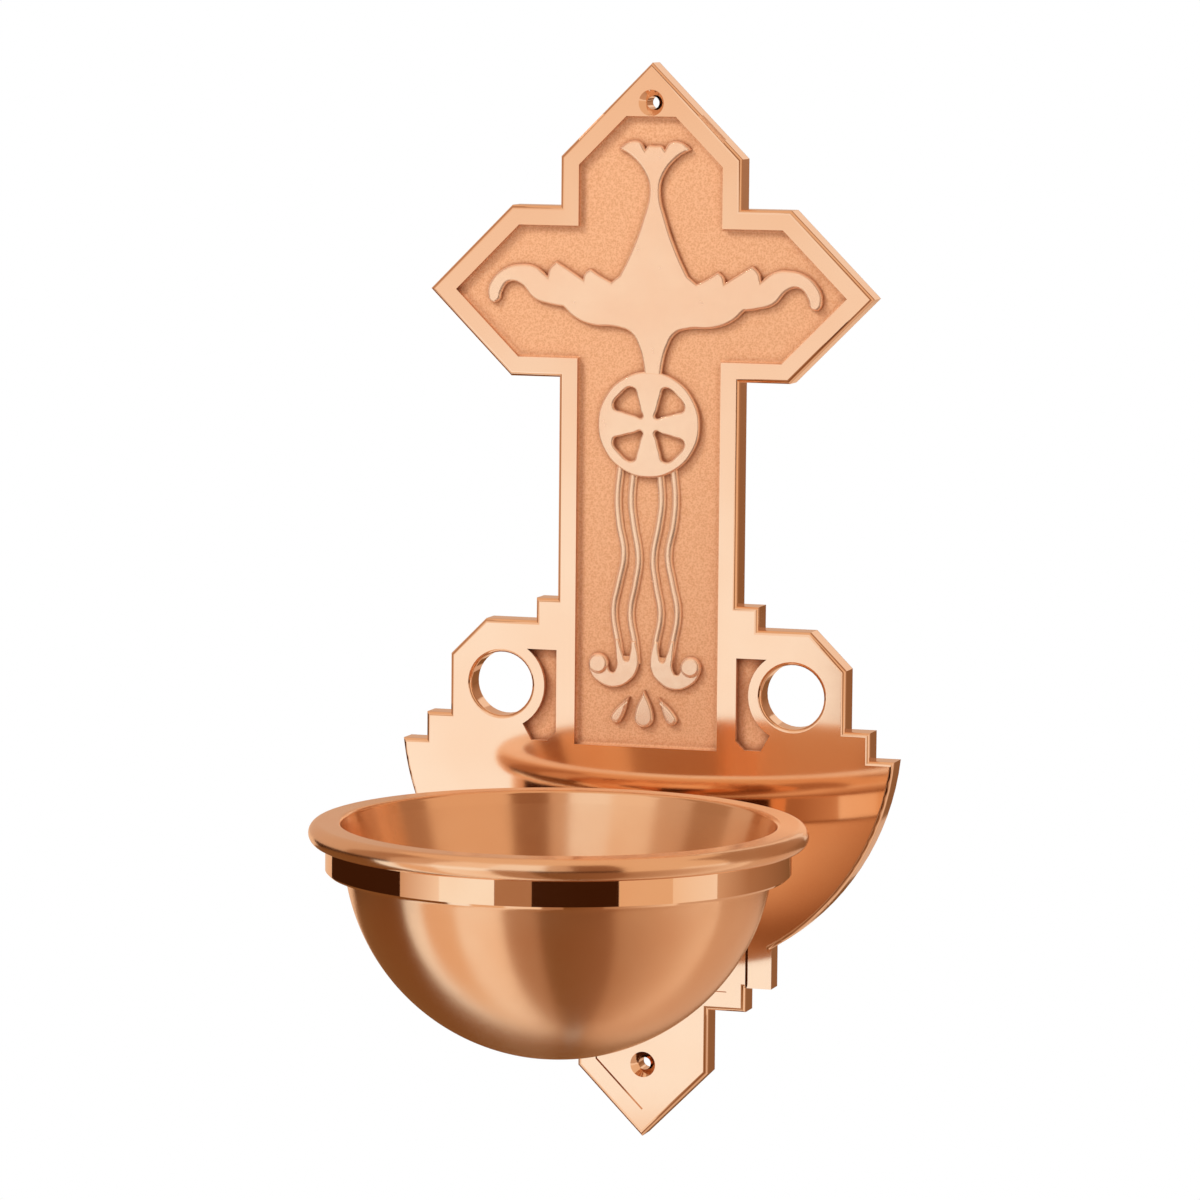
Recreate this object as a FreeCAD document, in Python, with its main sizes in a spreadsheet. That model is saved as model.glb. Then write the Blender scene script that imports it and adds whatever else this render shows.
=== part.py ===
import FreeCAD, Part
import Sketcher
import math
import os

from FreeCAD import Placement, Rotation, Vector

# Wall-hung holy water stoup in cast bronze.
# Frame: +X right, +Z up, the wall is the plane Y = 0 and the stoup stands out towards -Y.
# Origin: on the wall plane, midway between the two wall screw holes.
# Heights in the sheet are counted up from the point of the tail, depths down from the bowl's rim.

doc = FreeCAD.newDocument("HolyWaterStoup")
sheet = doc.addObject("Spreadsheet::Sheet", "Sizes")

DRIVING_SIZES = [
    # back plate outline
    ("overall_height", 356.0, "point of the tail to point of the head"),
    ("plate_thick", 9.0, "plate from wall face to border face"),
    ("bar_half", 31.0, "half width of the upright bar"),
    ("arm_reach", 76.0, "centre line to the point of an arm"),
    ("arm_half", 28.2, "half height of the arms"),
    ("arm_drop", 75.5, "point of the head down to the points of the arms"),
    ("sill_step", 7.4, "width of the small step over the lobes"),
    ("sill_rise", 7.6, "height of that small step"),
    ("lobe_corner", 12.2, "45 degree cut of a lobe's outer corner"),
    ("ledge_step", 8.4, "width of the step under the lobes"),
    ("shield_over", 8.8, "side of that step out to the shield's radius"),
    ("shield_drop", 9.2, "top of that step down to where the shield is cut off square"),
    ("heel_half", 43.8, "half width of the upper tail step"),
    ("heel_under", 1.6, "lowest part of the shield's arc down to the underside of that step"),
    ("ankle_half", 35.3, "half width of the lower tail step"),
    ("ankle_drop", 8.0, "upper tail step down to the underside of the lower one"),
    ("foot_half", 22.6, "half width of the tail above its 45 degree point"),
    ("edge_round", 1.5, "rounding of the front edge of the plate"),
    # sunk fields
    ("border", 6.4, "width of the raised border"),
    ("panel_depth", 2.2, "depth of the stippled field below the border"),
    ("panel_cove", 1.2, "hollow at the foot of the field's walls"),
    ("hole_margin", 0.1, "metal between the flat top of the field and the upper screw hole's mouth"),
    ("panel_foot", 130.6, "bottom of the field"),
    ("tail_depth", 0.8, "depth of the plain field in the tail"),
    ("tail_field_top", 62.0, "top of the plain field in the tail"),
    ("heel_drop", 1.5, "depth of the ledge beside the tail border"),
    # pierced rings
    ("ring_level", 149.6, "height of the centres of the rings"),
    ("ring_bore", 10.6, "radius of the hole through a ring"),
    ("ring_outer", 15.0, "outside radius of a ring"),
    ("ring_round", 1.2, "rounding of the edges of that hole"),
    ("ring_slit", 4.2, "narrowest width between the upright bar and a ring"),
    ("ring_side", 18.0, "centre of a ring out to the side of its lobe"),
    ("ring_over", 21.6, "centre of a ring up to the top of its lobe"),
    ("ring_under", 10.6, "centre of a ring down to the step under its lobe"),
    ("gap_depth", 2.6, "depth of the sunk gap beside a ring"),
    ("gap_rise", 12.1, "centre of a ring up to the top of that gap"),
    ("gap_fall", 18.3, "centre of a ring down to the bottom of that gap"),
    ("gap_corner", 3.0, "cut corner at the foot of that gap"),
    # wall screws
    ("lower_hole", 24.2, "height of the screw hole in the tail"),
    ("upper_hole_inset", 13.1, "point of the head down to its screw hole"),
    ("wall_bore", 2.1, "radius of a wall screw hole"),
    ("wall_sink", 2.2, "width of the countersink round a wall screw hole"),
    # relief
    ("relief_rise", 1.2, "height of the carving over the field"),
    ("dove_span", 57.3, "centre line of the dove to a wing tip"),
    ("dove_shift", 1.2, "dove's centre line to the right of the plate's"),
    ("nimbus_drop", 43.0, "points of the arms down to the centre of the nimbus"),
    ("nimbus_radius", 17.4, "outside radius of the nimbus"),
    ("nimbus_rim", 3.4, "width of the nimbus ring"),
    ("cross_waist", 1.8, "half width of the small cross at its middle"),
    ("cross_end", 5.4, "half width of the small cross at its ends"),
    ("stream_shift", 0.8, "middle of streams and drops to the left of the plate's"),
    ("stream_drop", 21.5, "centre of the nimbus down to where the streams leave it"),
    ("stream_line", 1.5, "width of one raised line of a stream"),
    ("stream_rise", 0.8, "height of that line over the field"),
    ("curl_level", 158.1, "height of the curl that ends a stream"),
    ("curl_ball", 3.4, "radius of the ball at the curl's end"),
    ("drop_level", 140.5, "height of the middle drop's round end"),
    ("drop_radius", 3.3, "radius of the middle drop"),
    ("side_drop_radius", 1.9, "radius of a side drop"),
    # bowl
    ("rim_level", 118.8, "height of the top of the bowl's lip"),
    ("bowl_stand", 92.0, "front of the plate to the bowl's axis"),
    ("mouth_radius", 68.7, "radius of the mouth inside the lip"),
    ("lip_width", 10.3, "width of the lip round the mouth"),
    ("lip_thick", 7.0, "thickness of the lip"),
    ("lip_round", 1.5, "rounding of the lip's inner edge"),
    ("globe_depth", 7.0, "depth of the centre of the bowl's globe"),
    ("globe_inset", 0.7, "mouth's radius in to the outside radius of the globe"),
    ("shell_wall", 3.0, "wall of the bowl shell"),
    ("liner_wall", 1.2, "wall of the liner"),
    ("liner_play", 0.6, "clearance between liner and shell"),
    ("foot_cut", 1.8, "height cut off the globe by the flat under the bowl"),
    ("band_out", 5.6, "plain band under the lip, out from the globe's radius"),
    ("band_foot", 15.2, "depth of the lower edge of the band"),
    ("band_bevel", 0.8, "bevel of the lower edge of the band"),
    ("throat_fillet", 2.4, "fillet between the band's underside and the globe"),
    # mounting boss and its screws
    ("boss_level", 82.0, "height of the boss's axis"),
    ("boss_radius", 15.0, "radius of the boss's neck"),
    ("flange_radius", 19.0, "radius of the boss's flange"),
    ("flange_thick", 4.0, "thickness of that flange"),
    ("flange_cone", 3.0, "length of the slope from flange to neck"),
    ("screw_spacing", 20.0, "distance between the two boss screws"),
    ("screw_radius", 3.0, "radius of a boss screw"),
    ("thread_play", 0.05, "clearance round a screw in its tapped hole"),
    ("screw_play", 0.3, "clearance round a boss screw in the plate"),
    ("screw_reach", 12.0, "length of a boss screw inside the boss"),
    ("screw_tip_room", 2.0, "spare depth of a tapped hole past its screw"),
    ("head_radius", 4.9, "radius of a boss screw's head"),
    ("head_thick", 3.0, "thickness of that head"),
    ("head_play", 0.7, "clearance round the head in its counterbore"),
    ("washer_over", 0.3, "spring washer's radius past that of the head"),
    ("washer_thick", 1.4, "thickness of a spring washer"),
    ("washer_slot", 0.9, "gap in a spring washer"),
    ("key_size", 4.0, "width across the flats of the hexagon key"),
    ("key_depth", 1.8, "depth of the hexagon socket"),
    ("head_sink", 0.6, "screw head below the wall face"),
    # screws that hold the bowl shell to the boss
    ("bowl_screw_spread", 7.0, "angle of each bowl screw to the side of the centre plane"),
    ("bowl_screw_radius", 2.5, "radius of a bowl screw"),
    ("bowl_screw_head", 4.6, "radius of its countersunk head"),
    ("bowl_screw_reach", 10.0, "length of a bowl screw inside the boss"),
    ("seat_play", 0.05, "clearance round the countersunk head"),
    ("driver_slot", 1.2, "width of the slot in that head"),
    ("driver_depth", 1.1, "depth of the slot in that head"),
]

DERIVED_SIZES = [
    ("upper_hole", "overall_height - upper_hole_inset"),
    ("panel_top", "upper_hole - wall_bore - wall_sink - hole_margin"),
    ("datum_level", "(lower_hole + upper_hole) / 2"),
    ("arm_level", "overall_height - arm_drop"),
    ("nimbus_level", "arm_level - nimbus_drop"),
    ("stream_level", "nimbus_level - stream_drop"),
    ("ring_offset", "bar_half + ring_slit + ring_outer"),
    ("sill_half", "bar_half + sill_step"),
    ("lobe_half", "ring_offset + ring_side"),
    ("lobe_top", "ring_level + ring_over"),
    ("sill_level", "lobe_top + sill_rise"),
    ("ledge_half", "lobe_half + ledge_step"),
    ("ledge_level", "ring_level - ring_under"),
    ("shield_radius", "ledge_half + shield_over"),
    ("shield_top", "ledge_level - shield_drop"),
    ("gap_top", "ring_level + gap_rise"),
    ("gap_foot", "ring_level - gap_fall"),
    ("heel_level", "ledge_level - shield_radius - heel_under"),
    ("ankle_level", "heel_level - ankle_drop"),
    ("globe_radius", "mouth_radius - globe_inset"),
    ("lip_radius", "mouth_radius + lip_width"),
    ("band_radius", "globe_radius + band_out"),
    ("foot_depth", "globe_depth + globe_radius - foot_cut"),
    ("washer_radius", "head_radius + washer_over"),
    ("shoulder_level", "overall_height - bar_half"),
    ("arm_corner", "arm_reach - arm_half"),
    ("arm_top", "arm_level + arm_half"),
    ("arm_foot", "arm_level - arm_half"),
    ("lobe_cut_half", "lobe_half - lobe_corner"),
    ("lobe_cut_level", "lobe_top - lobe_corner"),
    ("panel_half", "bar_half - border"),
    ("panel_peak_half", "overall_height - border * sqrt(2) - panel_top"),
    ("panel_shoulder", "overall_height - border * sqrt(2) - panel_half"),
    ("panel_arm_half", "arm_half - border"),
    ("panel_arm_reach", "arm_reach - border * sqrt(2)"),
    ("panel_arm_corner", "panel_arm_reach - panel_arm_half"),
    ("panel_arm_top", "arm_level + panel_arm_half"),
    ("panel_arm_foot", "arm_level - panel_arm_half"),
    ("tail_field_half", "ankle_half - border"),
    ("tail_field_step", "ankle_level + border"),
    ("tail_field_foot_half", "foot_half - border"),
    ("tail_field_foot", "tail_field_foot_half + border * sqrt(2)"),
    ("tail_field_tip", "border * sqrt(2)"),
    ("heel_out", "heel_half + border"),
    ("heel_foot", "heel_level - border"),
    ("heel_top", "ledge_level - sqrt(shield_radius ^ 2 - heel_half ^ 2)"),
    ("gap_corner_half", "bar_half + gap_corner"),
    ("gap_corner_level", "gap_foot + gap_corner"),
    ("gap_end_half", "ring_offset - ring_outer / 2"),
    ("gap_end_low_half", "gap_end_half - gap_corner"),
    ("field_face", "plate_thick - panel_depth"),
    ("bowl_axis", "plate_thick + bowl_stand"),
    ("lip_bull", "lip_thick / 2"),
    ("lip_flat", "lip_radius - lip_bull"),
    ("lip_inner", "mouth_radius + lip_round"),
    ("shell_inner", "globe_radius - shell_wall"),
    ("liner_outer", "shell_inner - liner_play"),
    ("liner_inner", "liner_outer - liner_wall"),
    ("mouth_drop", "globe_depth - lip_round"),
    ("mouth_run", "sqrt(mouth_radius ^ 2 + mouth_drop ^ 2)"),
    ("slope", "acos(liner_inner / mouth_run) - atan(mouth_drop / mouth_radius)"),
    ("liner_inner_turn", "globe_depth + liner_inner * sin(slope)"),
    ("liner_outer_turn", "globe_depth + liner_outer * sin(slope)"),
    ("shell_inner_turn", "globe_depth + shell_inner * sin(slope)"),
    ("liner_neck", "(liner_outer + (globe_depth - lip_thick) * sin(slope)) / cos(slope)"),
    ("shell_neck", "(shell_inner + (globe_depth - lip_thick) * sin(slope)) / cos(slope)"),
    ("shell_floor", "foot_depth - shell_wall"),
    ("liner_floor", "shell_floor - liner_play"),
    ("liner_inner_floor", "liner_floor - liner_wall"),
    ("band_under", "band_foot + band_bevel"),
    ("band_under_radius", "band_radius - band_bevel"),
    ("boss_length", "bowl_stand - globe_radius / 2"),
    ("cone_end", "flange_thick + flange_cone"),
    ("bore_radius", "screw_radius + screw_play"),
    ("counterbore", "head_radius + head_play"),
    ("screw_seat", "head_sink + head_thick"),
    ("counter_depth", "screw_seat + washer_thick"),
    ("tap_depth", "screw_reach + screw_tip_room"),
    ("tap_radius", "screw_radius + thread_play"),
    ("screw_half", "screw_spacing / 2"),
    ("upper_screw", "boss_level + screw_half"),
    ("lower_screw", "boss_level - screw_half"),
    ("shank_length", "plate_thick - screw_seat + screw_reach"),
    ("bowl_screw_dip", "asin((rim_level - globe_depth - boss_level) / globe_radius)"),
    ("bowl_screw_rest", "shell_inner + seat_play"),
    ("bowl_head_end", "bowl_screw_rest + bowl_screw_head - bowl_screw_radius"),
    ("bowl_screw_tip", "globe_radius + bowl_screw_reach"),
    ("bowl_tap_end", "bowl_screw_tip + screw_tip_room"),
    ("bowl_tap_radius", "bowl_screw_radius + thread_play"),
    ("bowl_seat_radius", "bowl_screw_head + seat_play"),
    ("bowl_seat_start", "shell_inner - shell_wall"),
    ("bowl_seat_end", "bowl_screw_rest + bowl_seat_radius - bowl_tap_radius"),
    ("slot_half", "driver_slot / 2"),
    ("split_half", "washer_slot / 2"),
]


def fill_sheet():
    row = 1
    for alias, number, note in DRIVING_SIZES:
        sheet.set(f"A{row}", note)
        sheet.set(f"B{row}", str(number))
        sheet.setAlias(f"B{row}", alias)
        row += 1
    for alias, formula in DERIVED_SIZES:
        sheet.set(f"A{row}", "worked out")
        sheet.set(f"B{row}", "=" + formula)
        sheet.setAlias(f"B{row}", alias)
        row += 1
    doc.recompute()


def size(alias):
    """Value of a cell by alias; a leading minus turns its sign."""
    if alias is None:
        return 0.0
    if alias.startswith("-"):
        return -size(alias[1:])
    cell = getattr(sheet, alias)
    return float(getattr(cell, "Value", cell))


def formula(alias):
    if alias.startswith("-"):
        return "-Sizes." + alias[1:]
    return "Sizes." + alias


def mirrored(alias):
    if alias is None:
        return None
    return alias[1:] if alias.startswith("-") else "-" + alias


# ---------------------------------------------------------------- sketches

class Corner:
    """A corner of an outline. A coordinate that is None lies on the axis, a free one is left to an arc."""

    def __init__(self, across, up, free_across=None, free_up=None):
        self.across = across
        self.up = up
        self.free_across = free_across
        self.free_up = free_up

    def place(self):
        x = size(self.across) if self.free_across is None else self.free_across
        y = size(self.up) if self.free_up is None else self.free_up
        return Vector(x, y, 0)

    def held(self):
        return self.free_across is None and self.free_up is None

    def mirror(self):
        free = None if self.free_across is None else -self.free_across
        return Corner(mirrored(self.across), self.up, free, self.free_up)


class Arc:
    """A round side of an outline, by its centre and radius; turn is +1 anticlockwise and -1 clockwise."""

    def __init__(self, across, up, radius, turn):
        self.across = across
        self.up = up
        self.radius = radius
        self.turn = turn

    def mirror(self):
        return Arc(mirrored(self.across), self.up, self.radius, self.turn)


def new_sketch(body, name, plane, drop=None, forward=None):
    """Sketch on one of the body's own planes, moved down and forward by cells of the sheet."""
    sketch = body.newObject("Sketcher::SketchObject", name)
    support = [item for item in body.Origin.OriginFeatures if item.Role == plane][0]
    sketch.AttachmentSupport = [(support, "")]
    sketch.MapMode = "FlatFace"
    down = -size(drop) if drop else 0.0
    ahead = size(forward) if forward else 0.0
    sketch.AttachmentOffset = Placement(Vector(0, down, ahead), Rotation())
    if drop:
        sketch.setExpression("AttachmentOffset.Base.y", formula(mirrored(drop)))
    if forward:
        sketch.setExpression("AttachmentOffset.Base.z", formula(forward))
    return sketch


def pin_point(sketch, geometry, point, across, up, free_across=False, free_up=False):
    """Ties a point to the sheet, or to an axis where its coordinate is zero."""
    if not free_across:
        if across is None:
            sketch.addConstraint(Sketcher.Constraint("PointOnObject", geometry, point, -2))
        else:
            rule = Sketcher.Constraint("DistanceX", -1, 1, geometry, point, size(across))
            number = sketch.addConstraint(rule)
            sketch.setExpression(f"Constraints[{number}]", formula(across))
    if not free_up:
        if up is None:
            sketch.addConstraint(Sketcher.Constraint("PointOnObject", geometry, point, -1))
        else:
            rule = Sketcher.Constraint("DistanceY", -1, 1, geometry, point, size(up))
            number = sketch.addConstraint(rule)
            sketch.setExpression(f"Constraints[{number}]", formula(up))


def draw_outline(sketch, corners, sides):
    """Closed outline: side i runs from corner i to the next, and is None where it is straight."""
    count = len(corners)
    places = [corner.place() for corner in corners]
    pieces = []
    ends = []
    for i in range(count):
        start, stop, side = places[i], places[(i + 1) % count], sides[i]
        if side is None:
            pieces.append(Part.LineSegment(start, stop))
            ends.append((1, 2))
            continue
        centre = Vector(size(side.across), size(side.up), 0)
        first = math.atan2(start.y - centre.y, start.x - centre.x)
        last = math.atan2(stop.y - centre.y, stop.x - centre.x)
        circle = Part.Circle(centre, Vector(0, 0, 1), size(side.radius))
        if side.turn > 0:
            pieces.append(Part.ArcOfCircle(circle, first, last if last > first else last + 2 * math.pi))
            ends.append((1, 2))
        else:
            pieces.append(Part.ArcOfCircle(circle, last, first if first > last else first + 2 * math.pi))
            ends.append((2, 1))
    base = len(sketch.Geometry)
    sketch.addGeometry(pieces, False)
    joins = []
    for i in range(count):
        after = (i + 1) % count
        joins.append(Sketcher.Constraint("Coincident", base + i, ends[i][1], base + after, ends[after][0]))
    sketch.addConstraint(joins)
    for i in range(count):
        corner = corners[i]
        pin_point(sketch, base + i, ends[i][0], corner.across, corner.up,
                  corner.free_across is not None, corner.free_up is not None)
        side = sides[i]
        if side is None:
            continue
        ends_held = corner.held() and corners[(i + 1) % count].held()
        pin_point(sketch, base + i, 3, side.across, side.up, free_up=ends_held)
        if not ends_held:
            number = sketch.addConstraint(Sketcher.Constraint("Radius", base + i, size(side.radius)))
            sketch.setExpression(f"Constraints[{number}]", formula(side.radius))


def draw_both_sides(sketch, corners, sides):
    """The same closed outline right and left of the centre line."""
    draw_outline(sketch, corners, sides)
    flipped = [corner.mirror() for corner in reversed(corners)]
    turned = [side.mirror() if side else None for side in reversed(sides[:-1])]
    last = sides[-1].mirror() if sides[-1] else None
    draw_outline(sketch, flipped, turned + [last])


def draw_symmetric(sketch, right, sides):
    """Outline across the centre line, from its right half: the first and last corner lie on the centre line
    where their across is None, and are mirrored where it isn't."""
    left = [corner.mirror() for corner in reversed(right) if corner.across or corner.free_across]
    back = [side.mirror() if side else None for side in reversed(sides)]
    closing = [] if right[-1].across is None and right[-1].free_across is None else [None]
    opening = [] if right[0].across is None and right[0].free_across is None else [None]
    draw_outline(sketch, right + left, sides + closing + back + opening)


def draw_circle(sketch, across, up, radius):
    circle = Part.Circle(Vector(size(across), size(up), 0), Vector(0, 0, 1), size(radius))
    number = sketch.addGeometry(circle, False)
    pin_point(sketch, number, 3, across, up)
    rule = sketch.addConstraint(Sketcher.Constraint("Radius", number, size(radius)))
    sketch.setExpression(f"Constraints[{rule}]", formula(radius))


# ---------------------------------------------------------------- features

def new_body(name):
    return doc.addObject("PartDesign::Body", name)


def pad(body, sketch, length):
    feature = body.newObject("PartDesign::Pad", sketch.Name + "Pad")
    feature.Profile = sketch
    feature.Length = size(length)
    feature.setExpression("Length", formula(length))
    sketch.Visibility = False
    return feature


def pocket(body, sketch, depth, back=False):
    """Cut of a stated depth, or right through where depth is None."""
    feature = body.newObject("PartDesign::Pocket", sketch.Name + "Cut")
    feature.Profile = sketch
    if depth is None:
        feature.Type = "ThroughAll"
        feature.Midplane = True
    else:
        feature.Length = size(depth)
        feature.setExpression("Length", formula(depth))
        feature.Reversed = back
    sketch.Visibility = False
    return feature


def revolve(body, sketch):
    feature = body.newObject("PartDesign::Revolution", sketch.Name + "Turn")
    feature.Profile = sketch
    feature.ReferenceAxis = (sketch, ["V_Axis"])
    feature.Angle = 360.0
    sketch.Visibility = False
    return feature


def edges_where(feature, test):
    return [f"Edge{i}" for i, edge in enumerate(feature.Shape.Edges, 1) if test(edge)]


def bevel(body, base, edges, width):
    feature = body.newObject("PartDesign::Chamfer", base.Name + "Bevel")
    feature.Base = (base, edges)
    feature.Size = size(width)
    feature.setExpression("Size", formula(width))
    return feature


def fillet(body, base, edges, radius):
    feature = body.newObject("PartDesign::Fillet", base.Name + "Fillet")
    feature.Base = (base, edges)
    feature.Radius = size(radius)
    feature.setExpression("Radius", formula(radius))
    return feature


def place_at(item, up, out=None):
    """Puts an object on the centre line at sheet values: up is the level and out is -Y."""
    item.Placement = Placement(Vector(0, -size(out), size(up) - size("datum_level")), Rotation())
    item.setExpression("Placement.Base.z", f"Sizes.{up} - Sizes.datum_level")
    if out:
        item.setExpression("Placement.Base.y", formula(mirrored(out)))


# ---------------------------------------------------------------- back plate

def lies_on(edge, out):
    box = edge.BoundBox
    return abs(box.YMin + out) < 1e-4 and abs(box.YMax + out) < 1e-4


def rim_of_front(feature, out):
    """Edges of the plate's outline on its front face."""
    fronts = [face for face in feature.Shape.Faces if lies_on(face, out)]
    rim = max(fronts, key=lambda face: face.Area).OuterWire.Edges
    return edges_where(feature, lambda edge: any(edge.isSame(side) for side in rim))


def is_circle(edge, radius):
    curve = edge.Curve
    return curve.TypeId == "Part::GeomCircle" and abs(curve.Radius - radius) < 1e-4


def plate_outline(body):
    sketch = new_sketch(body, "PlateOutline", "XZ_Plane", drop="datum_level")
    shield_top_half = math.sqrt(size("shield_radius") ** 2 - size("shield_drop") ** 2)
    corners = [
        Corner(None, "overall_height"),
        Corner("bar_half", "shoulder_level"),
        Corner("bar_half", "arm_top"),
        Corner("arm_corner", "arm_top"),
        Corner("arm_reach", "arm_level"),
        Corner("arm_corner", "arm_foot"),
        Corner("bar_half", "arm_foot"),
        Corner("bar_half", "sill_level"),
        Corner("sill_half", "sill_level"),
        Corner("sill_half", "lobe_top"),
        Corner("lobe_cut_half", "lobe_top"),
        Corner("lobe_half", "lobe_cut_level"),
        Corner("lobe_half", "ledge_level"),
        Corner("ledge_half", "ledge_level"),
        Corner("ledge_half", "shield_top"),
        Corner(None, "shield_top", free_across=shield_top_half),
        Corner("heel_half", None, free_up=size("heel_top")),
        Corner("heel_half", "heel_level"),
        Corner("ankle_half", "heel_level"),
        Corner("ankle_half", "ankle_level"),
        Corner("foot_half", "ankle_level"),
        Corner("foot_half", "foot_half"),
        Corner(None, None),
    ]
    sides = [None] * 15 + [Arc(None, "ledge_level", "shield_radius", -1)] + [None] * 6
    draw_symmetric(sketch, corners, sides)
    return sketch


def panel_outline(body):
    sketch = new_sketch(body, "PanelOutline", "XZ_Plane", drop="datum_level", forward="plate_thick")
    corners = [
        Corner("panel_peak_half", "panel_top"),
        Corner("panel_half", "panel_shoulder"),
        Corner("panel_half", "panel_arm_top"),
        Corner("panel_arm_corner", "panel_arm_top"),
        Corner("panel_arm_reach", "arm_level"),
        Corner("panel_arm_corner", "panel_arm_foot"),
        Corner("panel_half", "panel_arm_foot"),
        Corner("panel_half", "panel_foot"),
    ]
    draw_symmetric(sketch, corners, [None] * 7)
    return sketch


def gap_outline(body):
    """Sunk gap between the upright bar and each ring."""
    sketch = new_sketch(body, "GapOutline", "XZ_Plane", drop="datum_level", forward="plate_thick")
    rise = size("gap_top") - size("ring_level")
    run = math.sqrt(size("ring_outer") ** 2 - rise ** 2)
    fall = math.sqrt(size("ring_outer") ** 2 - (size("ring_offset") - size("gap_end_half")) ** 2)
    corners = [
        Corner("bar_half", "gap_top"),
        Corner(None, "gap_top", free_across=size("ring_offset") - run),
        Corner("gap_end_half", None, free_up=size("ring_level") - fall),
        Corner("gap_end_low_half", "gap_foot"),
        Corner("gap_corner_half", "gap_foot"),
        Corner("bar_half", "gap_corner_level"),
    ]
    sides = [None, Arc("ring_offset", "ring_level", "ring_outer", 1), None, None, None, None]
    draw_both_sides(sketch, corners, sides)
    return sketch


def tail_field(body):
    sketch = new_sketch(body, "TailField", "XZ_Plane", drop="datum_level", forward="plate_thick")
    corners = [
        Corner("tail_field_half", "tail_field_top"),
        Corner("tail_field_half", "tail_field_step"),
        Corner("tail_field_foot_half", "tail_field_step"),
        Corner("tail_field_foot_half", "tail_field_foot"),
        Corner(None, "tail_field_tip"),
    ]
    draw_symmetric(sketch, corners, [None] * 4)
    return sketch


def heel_ledges(body):
    sketch = new_sketch(body, "HeelLedges", "XZ_Plane", drop="datum_level", forward="plate_thick")
    corners = [
        Corner("ankle_half", "heel_top"),
        Corner("heel_out", "heel_top"),
        Corner("heel_out", "heel_foot"),
        Corner("ankle_half", "heel_foot"),
    ]
    draw_both_sides(sketch, corners, [None] * 4)
    return sketch


def through_holes(body, name, places, radius):
    sketch = new_sketch(body, name, "XZ_Plane", drop="datum_level")
    for across, up in places:
        draw_circle(sketch, across, up, radius)
    return pocket(body, sketch, None)


def cut_plate(body):
    """Everything that is cut into the plate with square edges; the last cut is returned."""
    pad(body, plate_outline(body), "plate_thick")
    pocket(body, panel_outline(body), "panel_depth")
    pocket(body, gap_outline(body), "gap_depth")
    pocket(body, tail_field(body), "tail_depth")
    rings = [("ring_offset", "ring_level"), ("-ring_offset", "ring_level")]
    through_holes(body, "RingHoles", rings, "ring_bore")
    through_holes(body, "WallHoles", [(None, "lower_hole"), (None, "upper_hole")], "wall_bore")
    screws = [(None, "upper_screw"), (None, "lower_screw")]
    through_holes(body, "ScrewHoles", screws, "bore_radius")
    heads = new_sketch(body, "Counterbores", "XZ_Plane", drop="datum_level")
    for across, up in screws:
        draw_circle(heads, across, up, "counterbore")
    return pocket(body, heads, "counter_depth", back=True)


def plate_body():
    body = new_body("PlateBody")
    square = cut_plate(body)
    doc.recompute()
    front = size("plate_thick")
    rounded = fillet(body, square, rim_of_front(square, front), "edge_round")
    doc.recompute()
    floor = size("field_face")
    hollowed = fillet(body, rounded, edges_where(rounded, lambda edge: lies_on(edge, floor)), "panel_cove")
    doc.recompute()
    rings = edges_where(hollowed, lambda edge: is_circle(edge, size("ring_bore")))
    eased = fillet(body, hollowed, rings, "ring_round")
    doc.recompute()
    bore = size("wall_bore")
    mouths = edges_where(eased, lambda edge: is_circle(edge, bore) and edge.BoundBox.YMax < -front / 2)
    bevel(body, eased, mouths, "wall_sink")
    pocket(body, heel_ledges(body), "heel_drop")
    doc.recompute()
    return body


# ---------------------------------------------------------------- relief

# Right half of the dove as drawn, in millimetres from its centre line and from the level of the arms.
# Each run is one smooth stretch between two sharp corners, from the tail feathers down to the beak.
DOVE_RUNS = [
    [(0.0, 48.4), (2.4, 48.3), (3.4, 47.1)],
    [(3.4, 47.1), (5.0, 49.5), (8.8, 49.7), (12.3, 47.3)],
    [(12.3, 47.3), (7.9, 44.8), (3.1, 38.9), (1.9, 34.0), (4.2, 23.6), (8.2, 13.0), (11.7, 5.9)],
    [(11.7, 5.9), (14.6, 3.5)],
    [(14.6, 3.5), (18.5, 5.5), (21.9, 7.7)],
    [(21.9, 7.7), (23.9, 5.9), (24.3, 4.1)],
    [(24.3, 4.1), (29.0, 7.1), (33.6, 9.9)],
    [(33.6, 9.9), (36.0, 7.4), (36.6, 4.9)],
    [(36.6, 4.9), (41.0, 8.1), (46.0, 8.7), (51.5, 7.3), (55.8, 3.6), (57.3, -0.6), (55.9, -4.0),
     (53.4, -3.4), (52.4, -0.4), (49.8, 2.8), (46.2, 2.4), (41.0, -2.6), (35.8, -4.2), (31.0, -4.9)],
    [(31.0, -4.9), (27.2, -8.3), (21.0, -10.7), (12.0, -11.3), (7.6, -13.0), (4.9, -17.5), (3.3, -24.0),
     (2.4, -32.0), (0.0, -42.0)],
]
DOVE_SPAN_DRAWN = 57.3
# Middle lines of the right-hand stream, in millimetres from the centre line and from stream_level,
# drawn with the curl's level STREAM_RUN_DRAWN below that.
OUTER_LINE = [(9.0, 8.0), (10.0, -3.0), (9.4, -11.0), (7.6, -21.5), (9.3, -31.0), (11.0, -40.0),
              (9.4, -51.0), (8.1, -58.0)]
INNER_LINE = [(4.6, 5.0), (5.2, -4.0), (4.4, -11.0), (2.5, -23.0), (3.5, -31.0), (5.2, -41.0),
              (3.5, -51.5), (3.0, -58.0)]
STREAM_RUN_DRAWN = 57.9
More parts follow.
